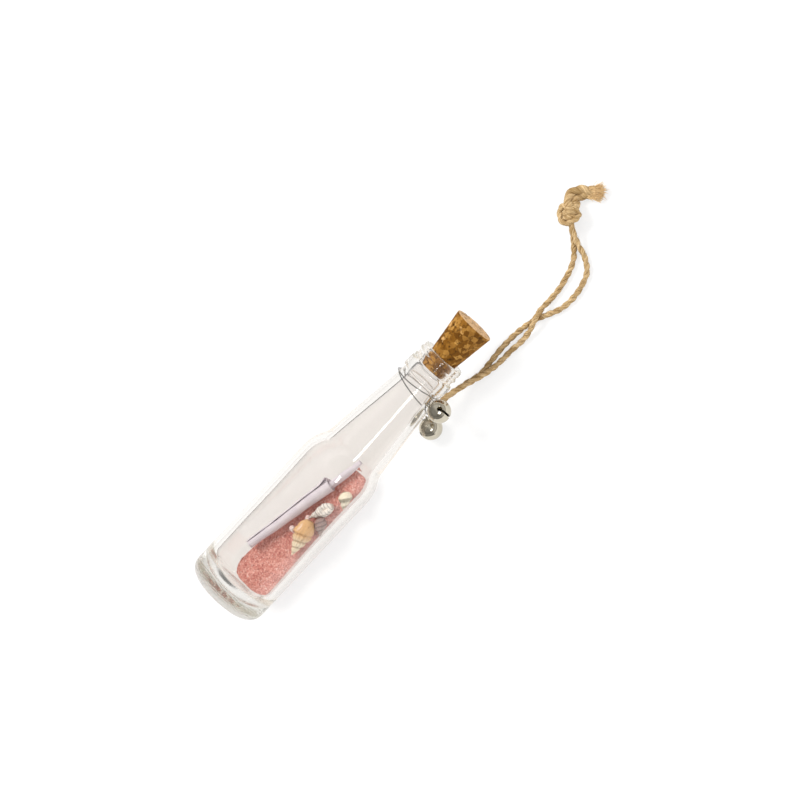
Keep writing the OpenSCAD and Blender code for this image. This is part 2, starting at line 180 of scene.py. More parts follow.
def smooth_path(route: Sequence, step: float) -> Points:
    """Draws a smooth line through the points of a route, with its points evenly spaced.

    Args:
        route: the points that the line passes through.
        step: distance between the points of the line.

    Returns:
        The points of the line.
    """
    p = np.asarray(route, float)
    padded = np.vstack([p[:1], p, p[-1:]])
    pieces = []
    steps_a_leg = 24
    t = np.linspace(0, 1, steps_a_leg, endpoint=False)[:, None]
    for a, b, c, d in zip(padded, padded[1:], padded[2:], padded[3:]):
        pieces.append(0.5 * (2 * b + (c - a) * t + (2 * a - 5 * b + 4 * c - d) * t**2
                             + (3 * b - a - 3 * c + d) * t**3))
    line = np.vstack(pieces + [p[-1:]])
    gone = np.concatenate([[0], np.cumsum(np.linalg.norm(np.diff(line, axis=0), axis=1))])
    count = max(2, int(round(gone[-1] / step)) + 1)
    at = np.linspace(0, gone[-1], count)
    return np.stack([np.interp(at, gone, line[:, k]) for k in range(3)], -1)


def turn_to(direction: Sequence, turn: float = 0.0) -> Points:
    """Gives the rotation that turns +Z to a direction, after a turn about it.

    Args:
        direction: where +Z goes.
        turn: degrees turned about +Z first.

    Returns:
        A 3 by 3 rotation.
    """
    d = Vector(direction).normalized()
    tilt = math.acos(max(-1.0, min(1.0, d.z)))
    lie = math.atan2(d.y, d.x)
    spin = Matrix.Rotation(math.radians(turn), 3, "Z")
    return np.array(Matrix.Rotation(lie, 3, "Z") @ Matrix.Rotation(tilt, 3, "Y") @ spin)


def wobble(points: Points, size: float, seed: float = 0.0) -> Points:
    """Gives a smooth random value from -1 to 1 for each point, which changes over the given size."""
    shift = Vector((seed * 17.3, seed * -9.1, seed * 5.7))
    return np.array([noise.noise(Vector(p) / size + shift) for p in points])


@dataclass
class MeshDraft:
    """Collects the parts of one mesh, with values for its points. Metres for joined_within."""

    points: list = field(default_factory=list)
    faces: list = field(default_factory=list)
    values: dict = field(default_factory=dict)
    count: int = 0
    joined_within: float = 2e-6

    def add(self, points: Points, faces: Sequence, **values: Points) -> None:
        """Adds points and faces. Each call for one mesh gives the same named values.

        Args:
            points: the points, in millimetres.
            faces: their faces, counted from the first of these points.
            values: one value a point for each attribute, or one for all of them.
        """
        self.points.append(np.asarray(points, float))
        self.faces.extend([tuple(int(k) + self.count for k in f) for f in faces])
        for name, value in values.items():
            self.values.setdefault(name, []).append(np.broadcast_to(np.asarray(value, float), len(points)))
        self.count += len(points)

    def build(self, name: str, body: Body, slot: Slot, material: bpy.types.Material,
              replaces: Sequence[str] = (), smooth: bool = True, tidy: bool = False) -> bpy.types.Object:
        """Makes the object.

        Args:
            name: the piece's name.
            body: the body that it rides on.
            slot: the record's slot of its finish, which is not used.
            material: its material.
            replaces: the CAD nodes that it stands for.
            smooth: whether its faces are shaded smooth.
            tidy: whether doubled points are joined and the faces turned outwards.

        Returns:
            The object, at the origin of the frame.
        """
        mesh = bpy.data.meshes.new(name)
        mesh.from_pydata((np.vstack(self.points) * MM).tolist(), [], self.faces)
        for label, parts in self.values.items():
            attribute = mesh.attributes.new(label, "FLOAT", "POINT")
            attribute.data.foreach_set("value", np.concatenate(parts).astype(np.float32))
        if tidy:
            work = bmesh.new()
            work.from_mesh(mesh)
            bmesh.ops.remove_doubles(work, verts=work.verts, dist=self.joined_within)
            bmesh.ops.recalc_face_normals(work, faces=work.faces)
            work.to_mesh(mesh)
            work.free()
        mesh.polygons.foreach_set("use_smooth", [smooth] * len(mesh.polygons))
        mesh.update()
        made = bpy.data.objects.new(name, mesh)
        bpy.context.scene.collection.objects.link(made)
        made.data.materials.append(material)
        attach(made, body.value)
        if replaces:
            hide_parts(*replaces)
        log.info("%s: %d faces", name, len(mesh.polygons))
        return made


# Material tools


class NodeSheet:
    """Adds nodes to a node tree and links them."""

    def __init__(self, tree: bpy.types.NodeTree) -> None:
        """Keeps the tree."""
        self.tree = tree

    def add(self, kind: str, **settings: object) -> bpy.types.Node:
        """Adds a node.

        Args:
            kind: the node's type.
            settings: its properties.

        Returns:
            The node.
        """
        node = self.tree.nodes.new(kind)
        for name, value in settings.items():
            setattr(node, name, value)
        return node

    def feed(self, source: object, target: bpy.types.NodeSocket) -> None:
        """Links an output to an input, or sets the input's value.

        Args:
            source: an output, a number or a colour.
            target: the input.
        """
        if isinstance(source, bpy.types.NodeSocket):
            self.tree.links.new(source, target)
        elif isinstance(source, tuple) and len(source) == 3 and target.type == "RGBA":
            target.default_value = (*source, 1.0)
        else:
            target.default_value = source

    def math(self, operation: str, a: object, b: object = 0.0, clamp: bool = False) -> bpy.types.NodeSocket:
        """Adds a Math node.

        Args:
            operation: what it works out.
            a: its first value.
            b: its second value.
            clamp: whether the result stays from 0 to 1.

        Returns:
            Its output.
        """
        node = self.add("ShaderNodeMath", operation=operation, use_clamp=clamp)
        self.feed(a, node.inputs[0])
        self.feed(b, node.inputs[1])
        return node.outputs[0]

    def mix(self, share: object, a: object, b: object, blend: str = "MIX") -> bpy.types.NodeSocket:
        """Adds a colour Mix node.

        Args:
            share: how much of the second colour shows.
            a: the first colour.
            b: the second colour.
            blend: how they are mixed.

        Returns:
            Its output.
        """
        node = self.add("ShaderNodeMix", data_type="RGBA", blend_type=blend)
        self.feed(share, node.inputs["Factor"])
        self.feed(a, node.inputs[6])
        self.feed(b, node.inputs[7])
        return node.outputs[2]

    def ramp(self, value: object, stops: Sequence[tuple[float, Colour]],
             smooth: bool = False) -> bpy.types.NodeSocket:
        """Adds a Color Ramp.

        Args:
            value: where on the ramp to read, from 0 to 1.
            stops: places on it, with their colours.
            smooth: whether it eases from one to the next.

        Returns:
            Its colour.
        """
        node = self.add("ShaderNodeValToRGB")
        ramp = node.color_ramp
        ramp.interpolation = "EASE" if smooth else "LINEAR"
        while len(ramp.elements) < len(stops):
            ramp.elements.new(0.5)
        for element, (at, colour) in zip(ramp.elements, stops):
            element.position = at
            element.color = (*colour, 1.0)
        self.feed(value, node.inputs[0])
        return node.outputs[0]

    def span(self, value: object, low: float, high: float, to_low: float = 0.0,
             to_high: float = 1.0) -> bpy.types.NodeSocket:
        """Adds a clamped Map Range node.

        Args:
            value: what it maps.
            low: the value that gives to_low.
            high: the value that gives to_high.
            to_low: the result at and before low.
            to_high: the result at and past high.

        Returns:
            Its result.
        """
        node = self.add("ShaderNodeMapRange")
        for socket, number in zip(node.inputs[:5], (value, low, high, to_low, to_high)):
            self.feed(number, socket)
        return node.outputs[0]

    def noise(self, where: object, scale: object, detail: float = 4.0,
              rough: float = 0.55) -> bpy.types.NodeSocket:
        """Adds a Noise Texture.

        Args:
            where: its coordinates.
            scale: its scale.
            detail: how many finer layers it has.
            rough: how strong those are.

        Returns:
            Its value.
        """
        node = self.add("ShaderNodeTexNoise")
        self.fill(node, Vector=where, Scale=scale, Detail=detail, Roughness=rough)
        return node.outputs["Fac"]

    def cells(self, where: object, scale: object, feature: str = "F1") -> bpy.types.Node:
        """Adds a Voronoi Texture of the given feature and gives the node."""
        return self.fill(self.add("ShaderNodeTexVoronoi", feature=feature), Vector=where, Scale=scale)

    def stretched(self, where: object, scale: tuple[float, float, float]) -> bpy.types.NodeSocket:
        """Scales coordinates by a different amount along each axis."""
        return self.fill(self.add("ShaderNodeMapping"), Vector=where, Scale=scale).outputs[0]

    def bump(self, height: object, distance: float, strength: float = 1.0,
             onto: object = None) -> bpy.types.NodeSocket:
        """Adds a Bump node.

        Args:
            height: the heights.
            distance: what a height of 1 stands for, in metres.
            strength: how strong it is.
            onto: another bump's normal that it adds to.

        Returns:
            Its normal.
        """
        node = self.fill(self.add("ShaderNodeBump"), Distance=distance, Strength=strength, Height=height)
        if onto is not None:
            self.feed(onto, node.inputs["Normal"])
        return node.outputs[0]

    def place(self) -> bpy.types.NodeSocket:
        """Gives the coordinates of the piece, in metres."""
        return self.add("ShaderNodeTexCoord").outputs["Object"]

    def value_of(self, attribute: str) -> bpy.types.NodeSocket:
        """Gives a value that the mesh carries."""
        node = self.add("ShaderNodeAttribute", attribute_name=attribute)
        return node.outputs["Fac"]

    def fill(self, node: bpy.types.Node, **inputs: object) -> bpy.types.Node:
        """Feeds several inputs of a node.

        Args:
            node: the node.
            inputs: values or outputs for its sockets, with underscores for spaces.

        Returns:
            The same node.
        """
        for name, value in inputs.items():
            self.feed(value, node.inputs[name.replace("_", " ")])
        return node

    def shared(self, group: bpy.types.NodeTree, **inputs: object) -> bpy.types.Node:
        """Places a shared node group and feeds its inputs."""
        return self.fill(self.add("ShaderNodeGroup", node_tree=group), **inputs)

    def output(self) -> bpy.types.Node:
        """Gives the output node of the tree."""
        return next(n for n in self.tree.nodes if n.type in ("OUTPUT_MATERIAL", "OUTPUT_WORLD"))

    def show_either(self, share: object, first: bpy.types.Node, second: bpy.types.Node) -> None:
        """Mixes two shaders into the surface of the output.

        Args:
            share: how much of the second one shows.
            first: the first shader.
            second: the second shader.
        """
        mixed = self.add("ShaderNodeMixShader")
        for source, target in zip((share, first.outputs[0], second.outputs[0]), mixed.inputs):
            self.feed(source, target)
        self.feed(mixed.outputs[0], self.output().inputs["Surface"])


class SharedEffects:
    """Node groups that more than one material uses, each built once."""

    COLOURS = ("Color", "Dark", "Light")

    def __init__(self) -> None:
        """Builds the groups."""
        both = ("Mask", "Height")
        self.speckle = self._group("Speckle", ("Vector", "Scale", "Amount"), both, self._speckle)
        self.mottle = self._group("Mottle", ("Vector", "Scale", "Dark", "Light"), ("Color", "Mask"),
                                  self._mottle)
        self.marks = self._group("Surface marks", ("Vector", "Scale", "Clean", "Worn"),
                                 ("Roughness", "Height"), self._marks)
        self.fibres = self._group("Fibres", ("Vector", "Scale"), both, self._fibres)

    def _group(self, name: str, inputs: Sequence[str], outputs: Sequence[str],
               fill: Callable) -> bpy.types.NodeTree:
        """Makes a node group with its sockets, whose kinds go by their names.

        Args:
            name: the group's name.
            inputs: names of its inputs.
            outputs: names of its outputs.
            fill: draws what is inside.

        Returns:
            The group.
        """
        tree = bpy.data.node_groups.new(name, "ShaderNodeTree")
        for in_out, labels in (("INPUT", inputs), ("OUTPUT", outputs)):
            for label in labels:
                kind = "Vector" if label == "Vector" else "Color" if label in self.COLOURS else "Float"
                tree.interface.new_socket(name=label, in_out=in_out, socket_type="NodeSocket" + kind)
        sheet = NodeSheet(tree)
        start, end = sheet.add("NodeGroupInput"), sheet.add("NodeGroupOutput")
        fill(sheet, start.outputs, end.inputs)
        return tree

    def patchy(self, sheet: NodeSheet, where: object, scale: float, dark: Colour, tone: object,
               share: float) -> bpy.types.NodeSocket:
        """Multiplies a share of a colour by a dark tint in soft patches of a given scale."""
        patches = sheet.shared(self.mottle, Vector=where, Scale=scale, Dark=dark, Light=WHITE)
        return sheet.mix(share, tone, patches.outputs["Color"], "MULTIPLY")

    @staticmethod
    def _speckle(sheet: NodeSheet, given: object, out: object) -> None:
        """Draws small uneven specks: a mask of them and their height.

        Args:
            sheet: the group's nodes.
            given: its inputs.
            out: where its results go.
        """
        cells = sheet.cells(given["Vector"], given["Scale"])
        uneven = sheet.noise(given["Vector"], sheet.math("MULTIPLY", given["Scale"], 2.0), 3.0)
        depth = sheet.math("ADD", cells.outputs["Distance"], sheet.math("MULTIPLY", uneven, 0.5))
        picked = sheet.math("LESS_THAN", cells.outputs["Color"], given["Amount"])
        sheet.feed(sheet.math("MULTIPLY", picked, sheet.span(depth, 0.5, 0.6, 1.0, 0.0)), out["Mask"])
        sheet.feed(sheet.math("SUBTRACT", 1.0, depth), out["Height"])

    @staticmethod
    def _mottle(sheet: NodeSheet, given: object, out: object) -> None:
        """Draws soft patches that pass from a dark colour to a light one.

        Args:
            sheet: the group's nodes.
            given: its inputs.
            out: where its results go.
        """
        patches = sheet.noise(given["Vector"], given["Scale"], 6.0, 0.6)
        share = sheet.span(patches, 0.34, 0.66)
        sheet.feed(share, out["Mask"])
        sheet.feed(sheet.mix(share, given["Dark"], given["Light"]), out["Color"])

    @staticmethod
    def _marks(sheet: NodeSheet, given: object, out: object) -> None:
        """Draws the faint smears and fine scratches of a handled glossy surface.

        Args:
            sheet: the group's nodes.
            given: its inputs.
            out: where its results go.
        """
        smear = sheet.noise(given["Vector"], given["Scale"], 5.0, 0.6)
        fine = sheet.noise(sheet.stretched(given["Vector"], (9.0, 1.0, 1.0)), given["Scale"], 6.0, 0.7)
        worn = sheet.span(smear, 0.45, 0.7)
        spread = sheet.math("SUBTRACT", given["Worn"], given["Clean"])
        sheet.feed(sheet.math("ADD", given["Clean"], sheet.math("MULTIPLY", worn, spread)), out["Roughness"])
        sheet.feed(fine, out["Height"])

    @staticmethod
    def _fibres(sheet: NodeSheet, given: object, out: object) -> None:
        """Draws long fine fibres that run along the first axis of their coordinates.

        Args:
            sheet: the group's nodes.
            given: its inputs.
            out: where its results go.
        """
        long = sheet.stretched(given["Vector"], (0.06, 1.0, 1.0))
        fine = sheet.noise(long, given["Scale"], 4.0, 0.65)
        sheet.feed(sheet.span(fine, 0.38, 0.62), out["Mask"])
        sheet.feed(fine, out["Height"])


def new_material(name: str) -> tuple[bpy.types.Material, NodeSheet, bpy.types.Node]:
    """Makes a material with one Principled shader.

    Args:
        name: the material's name.

    Returns:
        The material, its node sheet and its shader.
    """
    material = bpy.data.materials.new(name)
    material.use_nodes = True
    sheet = NodeSheet(material.node_tree)
    material.node_tree.nodes.clear()
    shader = sheet.add("ShaderNodeBsdfPrincipled")
    end = sheet.add("ShaderNodeOutputMaterial")
    sheet.tree.links.new(shader.outputs[0], end.inputs["Surface"])
    return material, sheet, shader


@dataclass(frozen=True)
class GlassLook:
    """Clear bottle glass, faintly grey-green where it is thick."""

    tint: Colour = (0.942, 0.912, 0.889)
    depth_tint: Colour = (0.77, 0.79, 0.755)
    depth: float = 36.0
    ior: float = 1.5
    ripple: float = 0.00002
    ripple_scale: float = 105.0
    # Colour of the painted glow that the glass shows once a ray has turned more than kept_turns times inside
    # it.
    lost: Colour = (0.62, 0.545, 0.49)
    kept_turns: float = 3.5
    shadow_tint: Colour = (0.95, 0.94, 0.93)
    base_end: float = -0.0605
    finish_start: float = 0.0335
    finish_blur: float = 0.1
    base_blur: float = 0.32
    stipple_scale: float = 1500.0
    stipple_h: float = 0.00012

    def material(self, effects: SharedEffects) -> bpy.types.Material:
        """Makes the material: blurred at the finish and the base, with a painted glow in place of the light
        that the render stops following after many turns inside.

        Args:
            effects: the shared node groups.

        Returns:
            The material.
        """
        material, sheet, shader = new_material("Clear glass")
        where = sheet.place()
        split = sheet.add("ShaderNodeSeparateXYZ")
        sheet.feed(where, split.inputs[0])
        x = split.outputs["X"]
        moulded = sheet.span(x, self.finish_start, self.finish_start + 0.001, 0.0, self.finish_blur)
        pressed = sheet.span(x, self.base_end - 0.0015, self.base_end - 0.0005, self.base_blur, 0.0)
        stipple = sheet.shared(effects.speckle, Vector=where, Scale=self.stipple_scale, Amount=0.45)
        near_base = sheet.span(x, self.base_end - 0.0015, self.base_end, 1.0, 0.0)
        pimples = sheet.math("MULTIPLY", stipple.outputs["Height"], near_base)
        ripple = sheet.noise(sheet.stretched(where, (0.45, 1.0, 1.0)), self.ripple_scale, 1.0, 0.4)
        path = sheet.add("ShaderNodeLightPath")
        # Painted glow: past kept_turns reflections the glass glows in a fixed colour, standing in for light
        # the render no longer follows.
        lost = sheet.math("GREATER_THAN", path.outputs["Glossy Depth"], self.kept_turns)
        sheet.fill(shader, Base_Color=self.tint, Transmission_Weight=1.0, IOR=self.ior,
                   Roughness=sheet.math("MAXIMUM", moulded, pressed),
                   Normal=sheet.bump(ripple, self.ripple, 0.6, sheet.bump(pimples, self.stipple_h, 0.7)),
                   Emission_Color=sheet.mix(lost, BLACK, self.lost), Emission_Strength=1.0)
        material.cycles.emission_sampling = "NONE"
        volume = sheet.add("ShaderNodeVolumeAbsorption")
        sheet.fill(volume, Color=self.depth_tint, Density=self.depth)
        sheet.feed(volume.outputs[0], sheet.output().inputs["Volume"])
        clear = sheet.fill(sheet.add("ShaderNodeBsdfTransparent"), Color=self.shadow_tint)
        through = sheet.math("MAXIMUM", path.outputs["Is Shadow Ray"], path.outputs["Is Diffuse Ray"])
        sheet.show_either(through, shader, clear)
        return material


@dataclass(frozen=True)
class MetalLook:
    """A bright metal with faint smears."""

    name: str
    colour: Colour
    clean: float
    worn: float
    scale: float = 300.0
    scratch_h: float = 0.000008

    def material(self, effects: SharedEffects) -> bpy.types.Material:
        """Makes the material.

        Args:
            effects: the shared node groups.

        Returns:
            The material.
        """
        material, sheet, shader = new_material(self.name)
        where = sheet.place()
        tone = sheet.shared(effects.mottle, Vector=where, Scale=self.scale * 2,
                            Dark=tuple(c * 0.9 for c in self.colour), Light=self.colour)
        marks = sheet.shared(effects.marks, Vector=where, Scale=self.scale, Clean=self.clean, Worn=self.worn)
        sheet.fill(shader, Base_Color=tone.outputs["Color"], Metallic=1.0,
                   Roughness=marks.outputs["Roughness"],
                   Normal=sheet.bump(marks.outputs["Height"], self.scratch_h, 0.5))
        return material


@dataclass(frozen=True)
class CorkLook:
    """Agglomerated cork: grains of several browns, dark specks and small pits."""

    light: Colour = (0.5, 0.26, 0.06)
    tan: Colour = (0.23, 0.096, 0.011)
    brown: Colour = (0.11, 0.04, 0.003)
    dark: Colour = (0.03, 0.012, 0.003)
    # Painted light: cut is the paler tone painted on the end face where the lamp catches it.
    cut: Colour = (0.78, 0.52, 0.29)
    palest: Colour = (0.64, 0.38, 0.15)
    shade: Colour = (0.62, 0.55, 0.5)
    grain_scale: float = 560.0
    patch_scale: float = 900.0
    bend: float = 0.0011
    relief: float = 0.00012

    def material(self, effects: SharedEffects) -> bpy.types.Material:
        """Makes the material: bent cells for the grains, with dark seams, specks and spots, painted shade in
        the pits and painted light on the end face.

        Args:
            effects: the shared node groups.

        Returns:
            The material.
        """
        material, sheet, shader = new_material("Agglomerated cork")
        where = sheet.place()
        shift = sheet.fill(sheet.add("ShaderNodeTexNoise"), Vector=where, Scale=self.patch_scale)
        small = sheet.add("ShaderNodeVectorMath", operation="SCALE")
        sheet.feed(shift.outputs["Color"], small.inputs[0])
        small.inputs["Scale"].default_value = self.bend
        bent = sheet.add("ShaderNodeVectorMath", operation="ADD")
        sheet.feed(where, bent.inputs[0])
        sheet.feed(small.outputs[0], bent.inputs[1])
        grains = sheet.cells(bent.outputs[0], self.grain_scale)
        tone = sheet.ramp(grains.outputs["Color"],
                          [(0.0, self.brown), (0.4, self.tan), (0.85, self.light), (1.0, self.palest)])
        tone = effects.patchy(sheet, where, self.patch_scale, self.shade, tone, 0.7)
        # Painted light on the end face: mixes in the paler cut tone there.
        tone = sheet.mix(sheet.math("MULTIPLY", sheet.value_of("cut"), 0.7), tone, self.cut)
        edges = sheet.cells(bent.outputs[0], self.grain_scale, "DISTANCE_TO_EDGE")
        broken = sheet.span(sheet.noise(where, 700.0, 3.0), 0.4, 0.62)
        seam = sheet.math("MULTIPLY", sheet.span(edges.outputs["Distance"], 0.0, 0.1, 0.8, 0.0), broken)
        specks = sheet.shared(effects.speckle, Vector=where, Scale=1300.0, Amount=0.2)
        spots = sheet.shared(effects.speckle, Vector=where, Scale=520.0, Amount=0.2)
        dark = sheet.math("MAXIMUM", sheet.math("MULTIPLY", specks.outputs["Mask"], 0.7), seam)
        dark = sheet.math("MAXIMUM", dark, sheet.math("MULTIPLY", spots.outputs["Mask"], 0.8))
        tone = sheet.mix(dark, tone, self.dark)
        # Painted shade in the pits: the deeper a point lies in one, the darker it is painted.
        tone = sheet.mix(sheet.math("MULTIPLY", sheet.value_of("pit"), 0.85, True), tone, self.dark)
        height = sheet.math("ADD", specks.outputs["Height"], sheet.noise(where, 2600.0, 5.0))
        sheet.fill(shader, Base_Color=tone, Roughness=0.82, Specular_IOR_Level=0.15,
                   Normal=sheet.bump(height, self.relief, 0.8))
        return material


@dataclass(frozen=True)
class SandLook:
    """Loose tinted sand: every grain has its own pink."""

    deep: Colour = (0.3, 0.075, 0.065)
    middle: Colour = (0.56, 0.19, 0.155)
    light: Colour = (0.77, 0.39, 0.325)
    palest: Colour = (0.88, 0.62, 0.55)
    shade: Colour = (0.86, 0.8, 0.8)
    relief: float = 0.00025

    def material(self, effects: SharedEffects) -> bpy.types.Material:
        """Makes the material.

        Args:
            effects: the shared node groups.

        Returns:
            The material.
        """
        material, sheet, shader = new_material("Pink sand")
        where = sheet.place()
        grain = sheet.math("FRACT", sheet.math("ADD", sheet.value_of("grain"),
                                               sheet.cells(where, 2300.0).outputs["Color"]))
        tone = sheet.ramp(grain, [(0.0, self.deep), (0.3, self.middle), (0.8, self.light),
                                  (1.0, self.palest)])
        tone = effects.patchy(sheet, where, 160.0, self.shade, tone, 0.8)
        sheet.fill(shader, Base_Color=tone, Roughness=0.7,
                   Normal=sheet.bump(sheet.noise(where, 3200.0, 4.0, 0.7), self.relief, 0.8))
        return material


@dataclass(frozen=True)
class PaperLook:
    """Plain white paper with faint fibres."""

    colour: Colour = (0.74, 0.69, 0.73)
    shade: Colour = (0.64, 0.59, 0.65)
    relief: float = 0.00004

    def material(self, effects: SharedEffects) -> bpy.types.Material:
        """Makes the material.

        Args:
            effects: the shared node groups.

        Returns:
            The material.
        """
        material, sheet, shader = new_material("Plain paper")
        where = sheet.place()
        tone = sheet.shared(effects.mottle, Vector=where, Scale=260.0, Dark=self.shade, Light=self.colour)
        fibres = sheet.shared(effects.fibres, Vector=where, Scale=5200.0)
        faint = sheet.math("MULTIPLY", fibres.outputs["Mask"], 0.12)
        sheet.fill(shader, Base_Color=sheet.mix(faint, tone.outputs["Color"], self.shade), Roughness=0.75,
                   Normal=sheet.bump(fibres.outputs["Height"], self.relief, 0.5))
        return material


@dataclass(frozen=True)
class ShellLook:
    """A sea shell: a spire and a body of different colours, bands that follow the whorls, and marks."""

    name: str
    spire: Colour
    body: Colour
    mark: Colour
    inside: Colour
    bands: float = 2.0
    spots: float = 0.5
    scale: float = 900.0
    relief: float = 0.00006

    def material(self, effects: SharedEffects) -> bpy.types.Material:
        """Makes the material.

        Args:
            effects: the shared node groups.

        Returns:
            The material.
        """
        material, sheet, shader = new_material(self.name)
        where = sheet.place()
        along, turn, groove = sheet.value_of("along"), sheet.value_of("turn"), sheet.value_of("groove")
        base = sheet.mix(sheet.span(along, 0.35, 0.6), self.spire, self.body)
        wave = sheet.math("SINE", sheet.math("MULTIPLY", turn, 6.2832 * self.bands))
        patches = sheet.shared(effects.mottle, Vector=where, Scale=self.scale, Dark=BLACK, Light=WHITE)
        uneven = sheet.math("ADD", wave, sheet.math("MULTIPLY", patches.outputs["Mask"], 0.8))
        tone = sheet.mix(sheet.math("MULTIPLY", sheet.span(uneven, 0.7, 1.2), 0.7), base, self.mark)
        spots = sheet.shared(effects.speckle, Vector=where, Scale=self.scale * 0.9, Amount=self.spots)
        tone = sheet.mix(sheet.math("MULTIPLY", spots.outputs["Mask"], 0.55), tone, self.mark)
        # Painted shade in the grooves: the whorl seams and rib valleys are darkened by their depth, more on
        # the spire.
        deep = sheet.math("MULTIPLY", groove, sheet.span(along, 0.4, 0.6, 0.6, 0.35), True)
        tone = sheet.mix(deep, tone, tuple(c * 0.6 for c in self.mark))
        tone = sheet.mix(sheet.value_of("mouth"), tone, self.inside)
        sheet.fill(shader, Base_Color=tone, Roughness=0.42, Coat_Weight=0.15,
                   Normal=sheet.bump(sheet.noise(where, self.scale * 3.0, 4.0), self.relief, 0.6))
        return material


@dataclass(frozen=True)
class JuteLook:
    """Two-ply jute: tan fibres that run along each ply, paler and darker in streaks."""

    pale: Colour = (0.74, 0.55, 0.31)
    tan: Colour = (0.34, 0.21, 0.078)
    # dark is the painted shade in the crevices between the plies and on the knot's core.
    dark: Colour = (0.17, 0.1, 0.038)
    # Paler tone of the brush: partly the loose fibres' own tone, partly painted light that makes up for the
    # shade the dense hairs cast on each other.
    frayed: Colour = (0.88, 0.62, 0.32)
    shade: Colour = (0.66, 0.58, 0.5)
    relief: float = 0.00022

    def material(self, effects: SharedEffects) -> bpy.types.Material:
        """Makes the material.

        Args:
            effects: the shared node groups.

        Returns:
            The material.
        """
        material, sheet, shader = new_material("Jute twine")
        where = sheet.place()
        lay = sheet.add("ShaderNodeCombineXYZ")
        sheet.feed(sheet.value_of("along"), lay.inputs[0])
        sheet.feed(sheet.value_of("around"), lay.inputs[1])
        fibres = sheet.shared(effects.fibres, Vector=lay.outputs[0], Scale=3.2)
        tone = sheet.mix(fibres.outputs["Mask"], self.tan, self.pale)
        tone = effects.patchy(sheet, where, 330.0, self.shade, tone, 0.7)
        # Painted shade: each ply is darkened on the side that faces the other one.
        tone = sheet.mix(sheet.math("MULTIPLY", sheet.value_of("valley"), 0.85, True), tone, self.dark)
        # Brush fibres painted paler: partly their own tone, partly painted light against the shade they cast
        # on each other.
        tone = sheet.mix(sheet.math("MULTIPLY", sheet.value_of("frayed"), 0.75), tone, self.frayed)
        height = sheet.math("ADD", fibres.outputs["Height"], sheet.noise(where, 4200.0, 3.0))
        sheet.fill(shader, Base_Color=tone, Roughness=0.85, Specular_IOR_Level=0.2,
                   Normal=sheet.bump(height, self.relief, 0.9))
        return material


# The bottle


